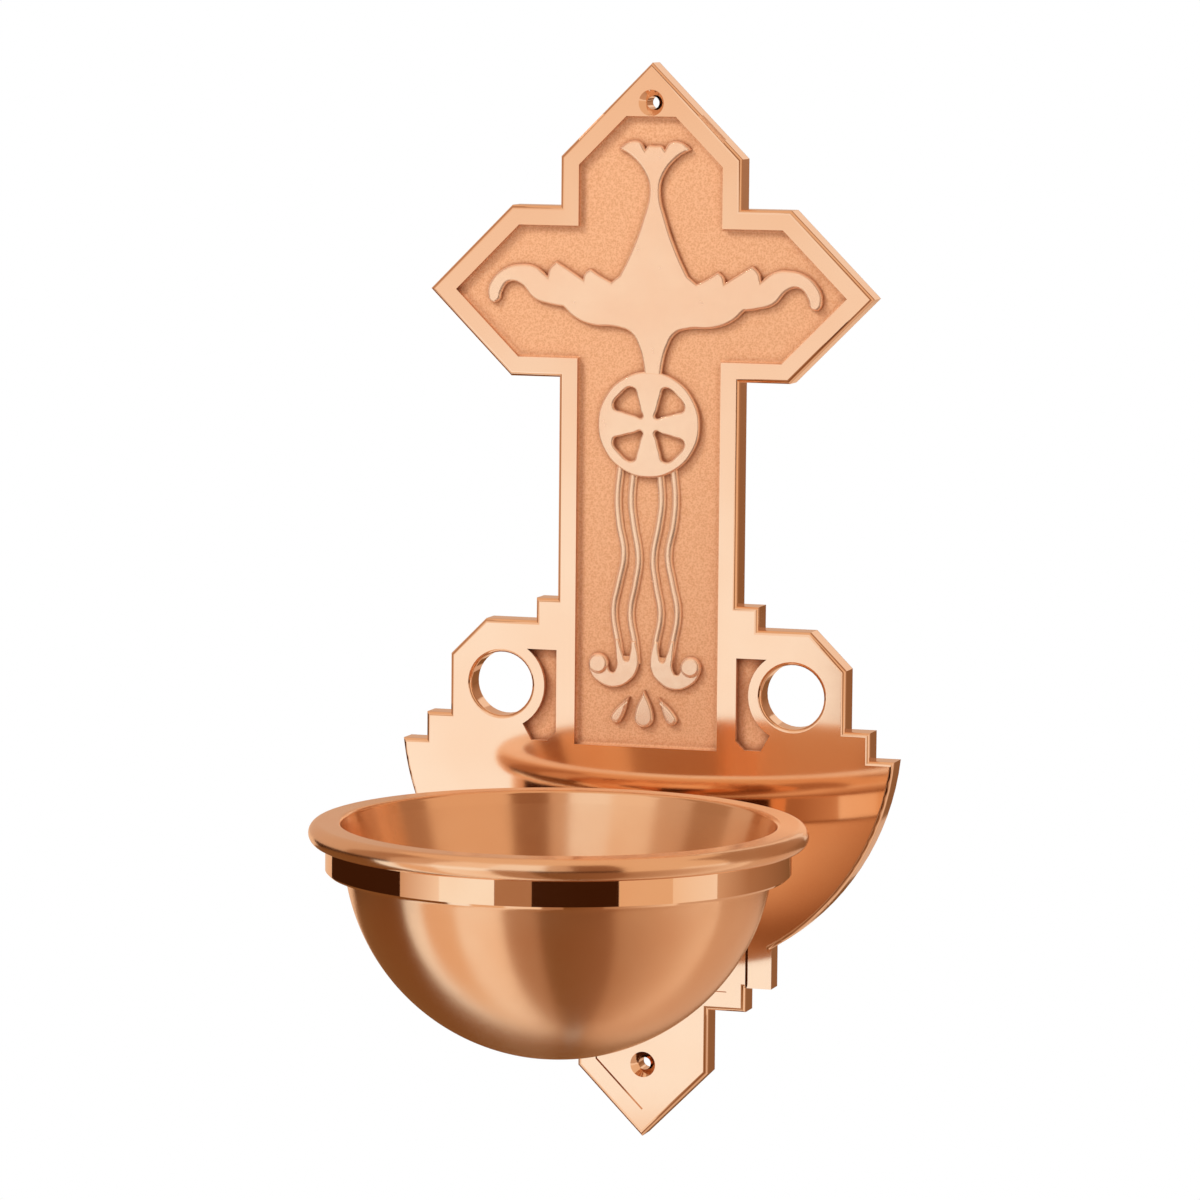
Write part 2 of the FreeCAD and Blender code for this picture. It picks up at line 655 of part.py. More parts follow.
# Outer and inner edge of the curl, in millimetres from the centre line and from curl_level.
CURL_RUNS = [
    [(2.2, 2.6), (2.4, -1.2), (4.6, -5.2), (10.0, -7.9), (15.4, -6.6), (18.8, -2.8), (19.1, 1.0),
     (16.2, 3.1), (13.0, 0.6)],
    [(13.0, 0.6), (11.0, -3.0), (9.3, -1.6), (8.9, 2.6)],
]
CURL_BALL = (15.9, -0.3)
SIDE_DROP_TIP = (5.2, 6.5)
SIDE_DROP_END = (9.5, -0.3)
MIDDLE_DROP_TIP = 8.9
RELIEF_ROOT = 0.4


def to_plate(across, level):
    """Point on the floor of the sunk field, a little inside the metal."""
    return Vector(across, -size("field_face") + RELIEF_ROOT, level - size("datum_level"))


def smooth_edge(points):
    if len(points) == 2:
        return Part.LineSegment(points[0], points[1]).toShape()
    curve = Part.BSplineCurve()
    curve.interpolate(points)
    return curve.toShape()


def raise_wire(wire, rise="relief_rise"):
    face = Part.Face(wire)
    return face.extrude(Vector(0, -size(rise) - RELIEF_ROOT, 0))


def both_sides(right):
    """The right-hand shape and its mirror image, about the middle of the streams."""
    aside = Vector(-size("stream_shift"), 0, 0)
    left = right.mirror(Vector(0, 0, 0), Vector(1, 0, 0))
    return [right.translated(aside), left.translated(aside)]


def add_relief(name, shape):
    feature = doc.addObject("Part::Feature", name)
    feature.Shape = shape
    return feature


def make_dove():
    stretch = size("dove_span") / DOVE_SPAN_DRAWN
    edges = []
    for run in DOVE_RUNS:
        for side in (1, -1):
            shift = size("dove_shift")
            points = [to_plate(shift + side * stretch * x, size("arm_level") + stretch * up) for x, up in run]
            edges.append(smooth_edge(points))
    return raise_wire(Part.Wire(Part.__sortEdges__(edges)))


def disc(radius, across, level):
    out = Vector(0, -size("relief_rise") - RELIEF_ROOT, 0)
    return Part.makeCylinder(radius, out.Length, to_plate(across, level), out)


def make_nimbus():
    level = size("nimbus_level")
    outer = size("nimbus_radius")
    inner = outer - size("nimbus_rim")
    reach = outer - size("nimbus_rim") / 2
    waist = size("cross_waist")
    end = size("cross_end")
    corners = []
    for quarter in range(4):
        angle = math.radians(90 * quarter)
        for along, aside in ((waist, -waist), (reach, -end), (reach, end)):
            x = along * math.cos(angle) - aside * math.sin(angle)
            up = along * math.sin(angle) + aside * math.cos(angle)
            corners.append(to_plate(x, level + up))
    cross = raise_wire(Part.makePolygon(corners + [corners[0]]))
    ring = disc(outer, 0, level).cut(disc(inner, 0, level))
    return ring.fuse(cross)


def make_line(points):
    """Raised line of even width along smooth middle points, with square ends."""
    half = size("stream_line") / 2
    level = size("stream_level")
    stretch = (level - size("curl_level")) / STREAM_RUN_DRAWN
    points = [(x, stretch * up) for x, up in points]
    sides = ([], [])
    for i, (x, up) in enumerate(points):
        before = points[max(i - 1, 0)]
        after = points[min(i + 1, len(points) - 1)]
        along = Vector(after[0] - before[0], after[1] - before[1], 0).normalize()
        for edge, sign in zip(sides, (1, -1)):
            edge.append(to_plate(x - sign * half * along.y, level + up + sign * half * along.x))
    right, left = sides
    left.reverse()
    edges = [smooth_edge(right), smooth_edge([right[-1], left[0]])]
    edges += [smooth_edge(left), smooth_edge([left[-1], right[0]])]
    return raise_wire(Part.Wire(edges), "stream_rise")


def make_curl():
    level = size("curl_level")
    edges = []
    for run in CURL_RUNS:
        edges.append(smooth_edge([to_plate(x, level + up) for x, up in run]))
    last = CURL_RUNS[-1][-1]
    first = CURL_RUNS[0][0]
    edges.append(smooth_edge([to_plate(last[0], level + last[1]), to_plate(first[0], level + first[1])]))
    ball = disc(size("curl_ball"), CURL_BALL[0], level + CURL_BALL[1])
    return raise_wire(Part.Wire(edges)).fuse(ball)


def make_drop(tip, centre, radius):
    """Teardrop: a round end and the two tangents to its tip."""
    axis = Vector(tip[0] - centre[0], tip[1] - centre[1], 0)
    lean = math.atan2(axis.y, axis.x)
    spread = math.acos(radius / axis.Length)
    touch = []
    for turn in (lean + spread, lean + math.pi, lean - spread):
        touch.append((centre[0] + radius * math.cos(turn), centre[1] + radius * math.sin(turn)))
    a, b, c = [to_plate(x, up) for x, up in touch]
    point = to_plate(tip[0], tip[1])
    edges = [Part.LineSegment(point, a), Part.Arc(a, b, c), Part.LineSegment(c, point)]
    return raise_wire(Part.Wire([edge.toShape() for edge in edges]))


def make_drops():
    level = size("drop_level")
    middle = make_drop((0.0, level + MIDDLE_DROP_TIP), (0.0, level), size("drop_radius"))
    tip = (SIDE_DROP_TIP[0], level + SIDE_DROP_TIP[1])
    end = (SIDE_DROP_END[0], level + SIDE_DROP_END[1])
    side = make_drop(tip, end, size("side_drop_radius"))
    middle.translate(Vector(-size("stream_shift"), 0, 0))
    return Part.makeCompound([middle] + both_sides(side))


def make_back_plate():
    body = plate_body()
    right, left = both_sides(make_line(OUTER_LINE).fuse([make_line(INNER_LINE), make_curl()]))
    carving = [
        add_relief("Dove", make_dove()),
        add_relief("Nimbus", make_nimbus()),
        add_relief("RightStream", right),
        add_relief("LeftStream", left),
        add_relief("Drops", make_drops()),
    ]
    plate = doc.addObject("Part::MultiFuse", "BackPlate")
    plate.Shapes = [body] + carving
    plate.Refine = True
    plate.Label = "back_plate"
    return plate


# ---------------------------------------------------------------- bowl

def make_bowl_shell(screw_holes):
    body = new_body("ShellBody")
    sketch = new_sketch(body, "ShellProfile", "XZ_Plane")
    slope = math.radians(size("slope"))
    globe = size("globe_radius")
    inner = size("shell_inner")
    deep = size("globe_depth")
    throat = math.sqrt(globe ** 2 - (size("band_under") - deep) ** 2)
    foot = math.sqrt(globe ** 2 - (size("foot_depth") - deep) ** 2)
    floor = math.sqrt(inner ** 2 - (size("shell_floor") - deep) ** 2)
    corners = [
        Corner(None, "-shell_floor"),
        Corner(None, "-foot_depth"),
        Corner(None, "-foot_depth", free_across=foot),
        Corner(None, "-band_under", free_across=throat),
        Corner("band_under_radius", "-band_under"),
        Corner("band_radius", "-band_foot"),
        Corner("band_radius", "-lip_thick"),
        Corner("shell_neck", "-lip_thick"),
        Corner(None, "-shell_inner_turn", free_across=inner * math.cos(slope)),
        Corner(None, "-shell_floor", free_across=floor),
    ]
    sides = [None] * 10
    sides[2] = Arc(None, "-globe_depth", "globe_radius", 1)
    sides[8] = Arc(None, "-globe_depth", "shell_inner", -1)
    draw_outline(sketch, corners, sides)
    turned = revolve(body, sketch)
    doc.recompute()
    half_way = -size("foot_depth") / 2
    throats = edges_where(turned, lambda edge: is_circle(edge, throat) and edge.BoundBox.ZMax > half_way)
    fillet(body, turned, throats, "throat_fillet")
    place_at(body, out="bowl_axis", up="rim_level")
    return cut("BowlShell", body, screw_holes, "bowl_shell")


def make_bowl_liner():
    body = new_body("BowlLiner")
    sketch = new_sketch(body, "LinerProfile", "XZ_Plane")
    slope = math.radians(size("slope"))
    deep = size("globe_depth")
    inner = size("liner_inner")
    outer = size("liner_outer")
    inner_floor = math.sqrt(inner ** 2 - (size("liner_inner_floor") - deep) ** 2)
    outer_floor = math.sqrt(outer ** 2 - (size("liner_floor") - deep) ** 2)
    corners = [
        Corner(None, "-liner_inner_floor"),
        Corner(None, "-liner_floor"),
        Corner(None, "-liner_floor", free_across=outer_floor),
        Corner(None, "-liner_outer_turn", free_across=outer * math.cos(slope)),
        Corner("liner_neck", "-lip_thick"),
        Corner("lip_flat", "-lip_thick"),
        Corner("lip_flat", None),
        Corner("lip_inner", None),
        Corner("mouth_radius", "-lip_round"),
        Corner(None, "-liner_inner_turn", free_across=inner * math.cos(slope)),
        Corner(None, "-liner_inner_floor", free_across=inner_floor),
    ]
    sides = [None] * 11
    sides[2] = Arc(None, "-globe_depth", "liner_outer", 1)
    sides[5] = Arc("lip_flat", "-lip_bull", "lip_bull", 1)
    sides[7] = Arc("lip_inner", "-lip_round", "lip_round", 1)
    sides[9] = Arc(None, "-globe_depth", "liner_inner", -1)
    draw_outline(sketch, corners, sides)
    revolve(body, sketch)
    place_at(body, out="bowl_axis", up="rim_level")
    body.Label = "bowl_liner"
    return body


# ---------------------------------------------------------------- boss and fasteners

BOSS_SCREWS = [("Upper", "upper_screw"), ("Lower", "lower_screw")]
BOWL_SCREWS = [("Left", 1), ("Right", -1)]
GLOBE_CENTRE = "vector(0; -Sizes.bowl_axis; Sizes.rim_level - Sizes.globe_depth - Sizes.datum_level)"


def cut(name, base, tools, label):
    group = doc.addObject("Part::MultiFuse", name + "Tools")
    group.Shapes = tools
    result = doc.addObject("Part::Cut", name)
    result.Base = base
    result.Tool = group
    result.Label = label
    return result


def boss_seat_tool():
    """The globe itself, which hollows the end of the boss."""
    ball = doc.addObject("Part::Sphere", "BowlSeat")
    ball.Radius = size("globe_radius")
    ball.setExpression("Radius", formula("globe_radius"))
    ball.setExpression("Placement", f"placement({GLOBE_CENTRE}; rotation(0; 0; 0))")
    return ball


def make_mounting_boss(screw_holes):
    body = new_body("BossBody")
    profile = new_sketch(body, "BossProfile", "XY_Plane")
    corners = [
        Corner(None, None),
        Corner("flange_radius", None),
        Corner("flange_radius", "-flange_thick"),
        Corner("boss_radius", "-cone_end"),
        Corner("boss_radius", "-boss_length"),
        Corner(None, "-boss_length"),
    ]
    draw_outline(profile, corners, [None] * 6)
    revolve(body, profile)
    taps = new_sketch(body, "TappedHoles", "XZ_Plane")
    for up in ("screw_half", "-screw_half"):
        draw_circle(taps, None, up, "tap_radius")
    pocket(body, taps, "tap_depth", back=True)
    place_at(body, out="plate_thick", up="boss_level")
    return cut("MountingBoss", body, [boss_seat_tool()] + screw_holes, "mounting_boss")


def draw_hexagon(sketch, width):
    reach = size(width) / math.sqrt(3)
    angles = [math.radians(60 * i) for i in range(6)]
    corners = [Vector(reach * math.cos(angle), reach * math.sin(angle), 0) for angle in angles]
    sides = [Part.LineSegment(corners[i], corners[(i + 1) % 6]) for i in range(6)]
    sketch.addGeometry(sides, False)
    ring = sketch.addGeometry(Part.Circle(Vector(0, 0, 0), Vector(0, 0, 1), reach), True)
    rules = [Sketcher.Constraint("Coincident", ring, 3, -1, 1)]
    for i in range(6):
        rules.append(Sketcher.Constraint("Coincident", i, 2, (i + 1) % 6, 1))
        rules.append(Sketcher.Constraint("PointOnObject", i, 1, ring))
    for i in range(1, 6):
        rules.append(Sketcher.Constraint("Equal", 0, i))
    rules.append(Sketcher.Constraint("PointOnObject", 0, 1, -1))
    sketch.addConstraint(rules)
    rule = sketch.addConstraint(Sketcher.Constraint("Radius", ring, reach))
    sketch.setExpression(f"Constraints[{rule}]", f"Sizes.{width} / sqrt(3)")


def make_boss_screw(place, level):
    """Socket head cap screw from the back of the plate into the boss."""
    body = new_body(place + "BossScrew")
    shank = new_sketch(body, place + "Shank", "XZ_Plane", forward="screw_seat")
    draw_circle(shank, None, None, "screw_radius")
    pad(body, shank, "shank_length")
    head = new_sketch(body, place + "Head", "XZ_Plane", forward="head_sink")
    draw_circle(head, None, None, "head_radius")
    pad(body, head, "head_thick")
    key = new_sketch(body, place + "Key", "XZ_Plane", forward="head_sink")
    draw_hexagon(key, "key_size")
    pocket(body, key, "key_depth", back=True)
    place_at(body, up=level)
    body.Label = "boss_screw_" + place.lower()
    return body


def make_lock_washer(place, level):
    body = new_body(place + "LockWasher")
    ring = new_sketch(body, place + "Ring", "XZ_Plane", forward="screw_seat")
    draw_circle(ring, None, None, "washer_radius")
    draw_circle(ring, None, None, "bore_radius")
    pad(body, ring, "washer_thick")
    split = new_sketch(body, place + "Split", "XZ_Plane", forward="screw_seat")
    draw_symmetric(split, [Corner("split_half", None), Corner("split_half", "washer_radius")], [None])
    pocket(body, split, "washer_thick", back=True)
    place_at(body, up=level)
    body.Label = "lock_washer_" + place.lower()
    return body


def aim_from_globe(item, side):
    """Stands an object on the globe's centre with its Z axis out through the boss, to one side."""
    turn = f"rotation({side} * Sizes.bowl_screw_spread * 1 deg; 0 deg; -90 deg - Sizes.bowl_screw_dip)"
    item.setExpression("Placement", f"placement({GLOBE_CENTRE}; {turn})")


def make_bowl_screw(place, side):
    """Slotted countersunk screw from inside the bowl shell into the boss."""
    body = new_body(place + "BowlScrew")
    profile = new_sketch(body, place + "ScrewProfile", "XZ_Plane")
    corners = [
        Corner(None, "bowl_screw_rest"),
        Corner("bowl_screw_head", "bowl_screw_rest"),
        Corner("bowl_screw_radius", "bowl_head_end"),
        Corner("bowl_screw_radius", "bowl_screw_tip"),
        Corner(None, "bowl_screw_tip"),
    ]
    draw_outline(profile, corners, [None] * 5)
    revolve(body, profile)
    slot = new_sketch(body, place + "DriverSlot", "XY_Plane", forward="bowl_screw_rest")
    side_line = [Corner("slot_half", "-bowl_screw_head"), Corner("slot_half", "bowl_screw_head")]
    draw_symmetric(slot, side_line, [None])
    pocket(body, slot, "driver_depth", back=True)
    aim_from_globe(body, side)
    body.Label = "bowl_screw_" + place.lower()
    return body


def make_bowl_screw_hole(place, side):
    """Countersunk seat and threaded bore, cut from the shell and the boss alike."""
    body = new_body(place + "BowlScrewHole")
    profile = new_sketch(body, place + "HoleProfile", "XZ_Plane")
    corners = [
        Corner(None, "bowl_seat_start"),
        Corner("bowl_seat_radius", "bowl_seat_start"),
        Corner("bowl_seat_radius", "bowl_screw_rest"),
        Corner("bowl_tap_radius", "bowl_seat_end"),
        Corner("bowl_tap_radius", "bowl_tap_end"),
        Corner(None, "bowl_tap_end"),
    ]
    draw_outline(profile, corners, [None] * 6)
    revolve(body, profile)
    aim_from_globe(body, side)
    return body


# ---------------------------------------------------------------- build and write

CUBIC_MM_IN_CM = 1000


def check(sub_parts):
    faults = []
    for item in doc.Objects:
        if "Invalid" in item.State or "Error" in item.State:
            faults.append(f"{item.Name}: {item.State}")
    for item in sub_parts:
        if item.Shape.isNull() or not item.Shape.isValid():
            faults.append(f"{item.Label}: no valid shape")
    if faults:
        raise RuntimeError("; ".join(faults))


def main():
    fill_sheet()
    screw_holes = [make_bowl_screw_hole(place, side) for place, side in BOWL_SCREWS]
    sub_parts = [
        make_back_plate(),
        make_bowl_shell(screw_holes),
        make_bowl_liner(),
        make_mounting_boss(screw_holes),
    ]
    for place, level in BOSS_SCREWS:
        sub_parts.append(make_boss_screw(place, level))
        sub_parts.append(make_lock_washer(place, level))
    for place, side in BOWL_SCREWS:
        sub_parts.append(make_bowl_screw(place, side))
    doc.recompute()
    check(sub_parts)
    os.makedirs("parts", exist_ok=True)
    for item in sub_parts:
        item.Shape.exportStep(f"parts/{item.Label}.step")
        box = item.Shape.BoundBox
        volume = item.Shape.Volume / CUBIC_MM_IN_CM
        print(f"{item.Label}: {len(item.Shape.Solids)} solids, {volume:.1f} cm3, "
              f"z {box.ZMin:.1f}..{box.ZMax:.1f}")


main()
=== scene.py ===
import bpy
import bmesh
import math
from mathutils import Matrix, Vector


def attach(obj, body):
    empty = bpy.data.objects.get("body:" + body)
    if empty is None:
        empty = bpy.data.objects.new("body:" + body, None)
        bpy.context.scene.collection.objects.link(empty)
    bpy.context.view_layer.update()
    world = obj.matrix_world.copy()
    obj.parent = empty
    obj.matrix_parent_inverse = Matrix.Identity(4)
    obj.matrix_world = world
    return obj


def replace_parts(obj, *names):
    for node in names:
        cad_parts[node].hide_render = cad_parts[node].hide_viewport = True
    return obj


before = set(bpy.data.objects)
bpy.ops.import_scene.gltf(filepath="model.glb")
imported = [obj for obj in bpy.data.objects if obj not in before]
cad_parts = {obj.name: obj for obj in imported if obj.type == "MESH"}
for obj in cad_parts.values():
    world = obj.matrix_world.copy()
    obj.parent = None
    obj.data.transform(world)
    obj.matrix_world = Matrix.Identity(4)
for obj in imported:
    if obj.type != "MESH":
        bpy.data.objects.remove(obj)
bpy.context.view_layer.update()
scene = bpy.context.scene
mm = 0.001
tailPoint = -183.55  # height of the tail's point in the frame, in mm: levels are counted up from it
armLevel = 280.5  # of the points of the arms
rimLevel = 118.8  # of the lip's top
bowlAxis = -101.0  # where the bowl's upright axis stands, from the wall
print("frame loaded:", len(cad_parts), "solids")

cameraView = {
    "azimuth": 17.5,
    "elevation": 6.33,
    "roll": 0.5,
    "distance": 1.898,
    "lens": 172.4,
    "target": (-0.01604, -0.009, -0.00454),
}


def makeCamera(view):
    around, over = math.radians(view["azimuth"]), math.radians(view["elevation"])
    back = Vector((math.sin(around) * math.cos(over), -math.cos(around) * math.cos(over), math.sin(over)))
    lens = bpy.data.cameras.new("camera")
    lens.lens = view["lens"]
    lens.sensor_width = 36
    camera = bpy.data.objects.new("camera", lens)
    scene.collection.objects.link(camera)
    turn = (-back).to_track_quat("-Z", "Y").to_matrix().to_4x4()
    roll = Matrix.Rotation(math.radians(view["roll"]), 4, "Z")
    camera.matrix_world = Matrix.Translation(Vector(view["target"]) + back * view["distance"]) @ turn @ roll
    scene.camera = camera


makeCamera(cameraView)
scene.view_settings.view_transform = "Standard"
print("camera placed")


def setInput(tree, socket, value):
    if isinstance(value, bpy.types.NodeSocket):
        tree.links.new(value, socket)
    else:
        socket.default_value = value


def addNode(tree, kind, settings=None, inputs=None):
    node = tree.nodes.new(kind)
    for name, value in (settings or {}).items():
        setattr(node, name, value)
    for name, value in (inputs or {}).items():
        setInput(tree, node.inputs[name], value)
    return node


def math2(tree, operation, *values):
    return addNode(tree, "ShaderNodeMath", {"operation": operation}, dict(enumerate(values))).outputs[0]


def mixColor(tree, factor, first, second, blend="MIX"):
    settings = {"data_type": "RGBA", "blend_type": blend}
    return addNode(tree, "ShaderNodeMix", settings, {0: factor, 6: first, 7: second}).outputs[2]


def mixNumber(tree, factor, first, second):
    return addNode(tree, "ShaderNodeMix", {"data_type": "FLOAT"}, {0: factor, 2: first, 3: second}).outputs[0]


def softStep(tree, value, low, high, outLow=0.0, outHigh=1.0):
    inputs = {"Value": value, "From Min": low, "From Max": high, "To Min": outLow, "To Max": outHigh}
    settings = {"clamp": True, "interpolation_type": "SMOOTHSTEP"}
    return addNode(tree, "ShaderNodeMapRange", settings, inputs).outputs["Result"]


def newMaterial(name):
    material = bpy.data.materials.new(name)
    material.use_nodes = True
    tree = material.node_tree
    tree.nodes.clear()
    shader = tree.nodes.new("ShaderNodeBsdfPrincipled")
    output = tree.nodes.new("ShaderNodeOutputMaterial")
    tree.links.new(shader.outputs["BSDF"], output.inputs["Surface"])
    return material, tree, shader


def newGroup(name, inputs, outputs):
    tree = bpy.data.node_groups.new(name, "ShaderNodeTree")
    for label, kind, default in inputs:
        socket = tree.interface.new_socket(name=label, in_out="INPUT", socket_type=kind)
        socket.default_value = default
    for label, kind in outputs:
        tree.interface.new_socket(name=label, in_out="OUTPUT", socket_type=kind)
    return tree, tree.nodes.new("NodeGroupInput"), tree.nodes.new("NodeGroupOutput")


def useGroup(tree, group, inputs):
    return addNode(tree, "ShaderNodeGroup", {"node_tree": group}, inputs)


def srgb(red, green, blue):
    shares = [channel / 255 for channel in (red, green, blue)]
    linear = [c / 12.92 if c <= 0.04045 else ((c + 0.055) / 1.055) ** 2.4 for c in shares]
    return (*linear, 1.0)


metalLook = {
    "polish": srgb(250, 219, 190),
    "polishWarm": srgb(248, 210, 178),
    "bowl": srgb(246, 211, 177),
    "bowlWarm": srgb(243, 200, 162),
    "carved": srgb(250, 219, 190),
    "carvedWarm": srgb(248, 211, 180),
    "castBack": srgb(196, 138, 98),
    "fieldLight": srgb(250, 196, 152),
    "fieldDark": srgb(232, 170, 124),
    # painted shade: the dark brown that the sunk fields turn to in corners and along walls
    "fieldCorner": srgb(150, 84, 46),
    "boss": srgb(232, 178, 138),
    "steel": srgb(168, 168, 170),
    "steelDull": srgb(140, 140, 143),
    "brass": srgb(226, 188, 120),
    "brassDull": srgb(205, 165, 105),
}


# slow changes of colour and shine over a hand-polished casting
def makeToneGroup():
    tree, given, made = newGroup(
        "castTone",
        [("Color", "NodeSocketColor", (1, 1, 1, 1)), ("Warm", "NodeSocketColor", (1, 1, 1, 1)),
         ("Scale", "NodeSocketFloat", 20.0), ("Roughness", "NodeSocketFloat", 0.2),
         ("Spread", "NodeSocketFloat", 0.05)],
        [("Color", "NodeSocketColor"), ("Roughness", "NodeSocketFloat"), ("Height", "NodeSocketFloat")],
    )
    place = addNode(tree, "ShaderNodeTexCoord").outputs["Object"]
    broad = addNode(tree, "ShaderNodeTexNoise", None,
                    {"Vector": place, "Scale": given.outputs["Scale"], "Detail": 3.0, "Roughness": 0.55})
    fineScale = math2(tree, "MULTIPLY", given.outputs["Scale"], 14.0)
    fine = addNode(tree, "ShaderNodeTexNoise", None,
                   {"Vector": place, "Scale": fineScale, "Detail": 2.0, "Roughness": 0.6})
    cloud = softStep(tree, broad.outputs["Fac"], 0.35, 0.68)
    tree.links.new(mixColor(tree, cloud, given.outputs["Color"], given.outputs["Warm"]), made.inputs["Color"])
    swing = math2(tree, "SUBTRACT", fine.outputs["Fac"], 0.5)
    rough = math2(tree, "MULTIPLY_ADD", swing, given.outputs["Spread"], given.outputs["Roughness"])
    tree.links.new(rough, made.inputs["Roughness"])
    tree.links.new(broad.outputs["Fac"], made.inputs["Height"])
    return tree


castTone = makeToneGroup()


def plainMetal(name, color, warm, roughness, wave=0.02, metallic=1.0, cloudScale=26.0, spread=0.6):
    material, tree, shader = newMaterial(name)
    tone = useGroup(tree, castTone, {"Color": color, "Warm": warm, "Scale": cloudScale,
                                     "Roughness": roughness, "Spread": roughness * spread})
    bump = addNode(tree, "ShaderNodeBump", None,
                   {"Strength": wave, "Distance": mm, "Height": tone.outputs["Height"]})
    setInput(tree, shader.inputs["Base Color"], tone.outputs["Color"])
    setInput(tree, shader.inputs["Roughness"], tone.outputs["Roughness"])
    setInput(tree, shader.inputs["Normal"], bump.outputs["Normal"])
    setInput(tree, shader.inputs["Metallic"], metallic)
    return material


plateLook = {
    "polish": 0.07,
    "polishSpread": 0.03,
    "cloudScale": 14.0,
    "wave": 0.04,
    "fieldRough": 0.52,
    "fieldMetal": 0.45,
    "grainSize": 0.6,
    "grainDepth": 0.07,
    "sandScale": 900.0,
    "sandShare": 0.7,
    "pitShare": 0.5,
    "stippleRange": (0.36, 0.78),  # the stipple's own range from dark to light
    "shadeReach": 3.5,   # how far from a wall the painted shade on the field reaches
    "shadeRange": (0.3, 0.98),
    "shadeLeast": 0.15,  # the lightness that the painted shade leaves in a corner
    "face": -8.8,        # the sunk fields lie between these two depths
    "floor": -5.9,
    "back": -0.2,
    "backRough": 0.48,
    "barHalf": 24.8,
    "barFoot": 130.4,
    "barTop": 339.0,
    "armHalf": 21.9,
    "armReach": 67.0,
    "ringOffset": 50.2,
    "ringLevel": 149.6,
    "ringOuter": 14.8,
    "gapHalf": 43.2,
    "gapFoot": 131.2,
    "gapTop": 161.8,
}


# 1 in the sunk fields of the plate, found by place: the upright, the arms and the gaps beside the rings
def sunkMask(tree, place, look):
    across = math2(tree, "ABSOLUTE", place.outputs["X"])
    sunk = math2(tree, "MULTIPLY", math2(tree, "GREATER_THAN", place.outputs["Y"], look["face"] * mm),
                 math2(tree, "LESS_THAN", place.outputs["Y"], look["floor"] * mm))

    def between(low, high):
        above = math2(tree, "GREATER_THAN", place.outputs["Z"], (tailPoint + low) * mm)
        below = math2(tree, "LESS_THAN", place.outputs["Z"], (tailPoint + high) * mm)
        return math2(tree, "MULTIPLY", above, below)

    bar = math2(tree, "MULTIPLY", between(look["barFoot"], look["barTop"]),
                math2(tree, "LESS_THAN", across, look["barHalf"] * mm))
    armMiddle = (tailPoint + armLevel) * mm
    off = math2(tree, "ABSOLUTE", math2(tree, "SUBTRACT", place.outputs["Z"], armMiddle))
    arms = math2(tree, "MULTIPLY", math2(tree, "LESS_THAN", off, look["armHalf"] * mm),
                 math2(tree, "LESS_THAN", math2(tree, "ADD", across, off), look["armReach"] * mm))
    aside = math2(tree, "SUBTRACT", across, look["ringOffset"] * mm)
    rise = math2(tree, "SUBTRACT", place.outputs["Z"], (tailPoint + look["ringLevel"]) * mm)
    away = math2(tree, "SQRT", math2(tree, "ADD", math2(tree, "MULTIPLY", aside, aside),
                                     math2(tree, "MULTIPLY", rise, rise)))
    gap = math2(tree, "MULTIPLY", between(look["gapFoot"], look["gapTop"]),
                math2(tree, "MULTIPLY", math2(tree, "LESS_THAN", across, look["gapHalf"] * mm),
                      math2(tree, "GREATER_THAN", away, look["ringOuter"] * mm)))
    return math2(tree, "MULTIPLY", sunk, math2(tree, "MAXIMUM", bar, math2(tree, "MAXIMUM", arms, gap)))


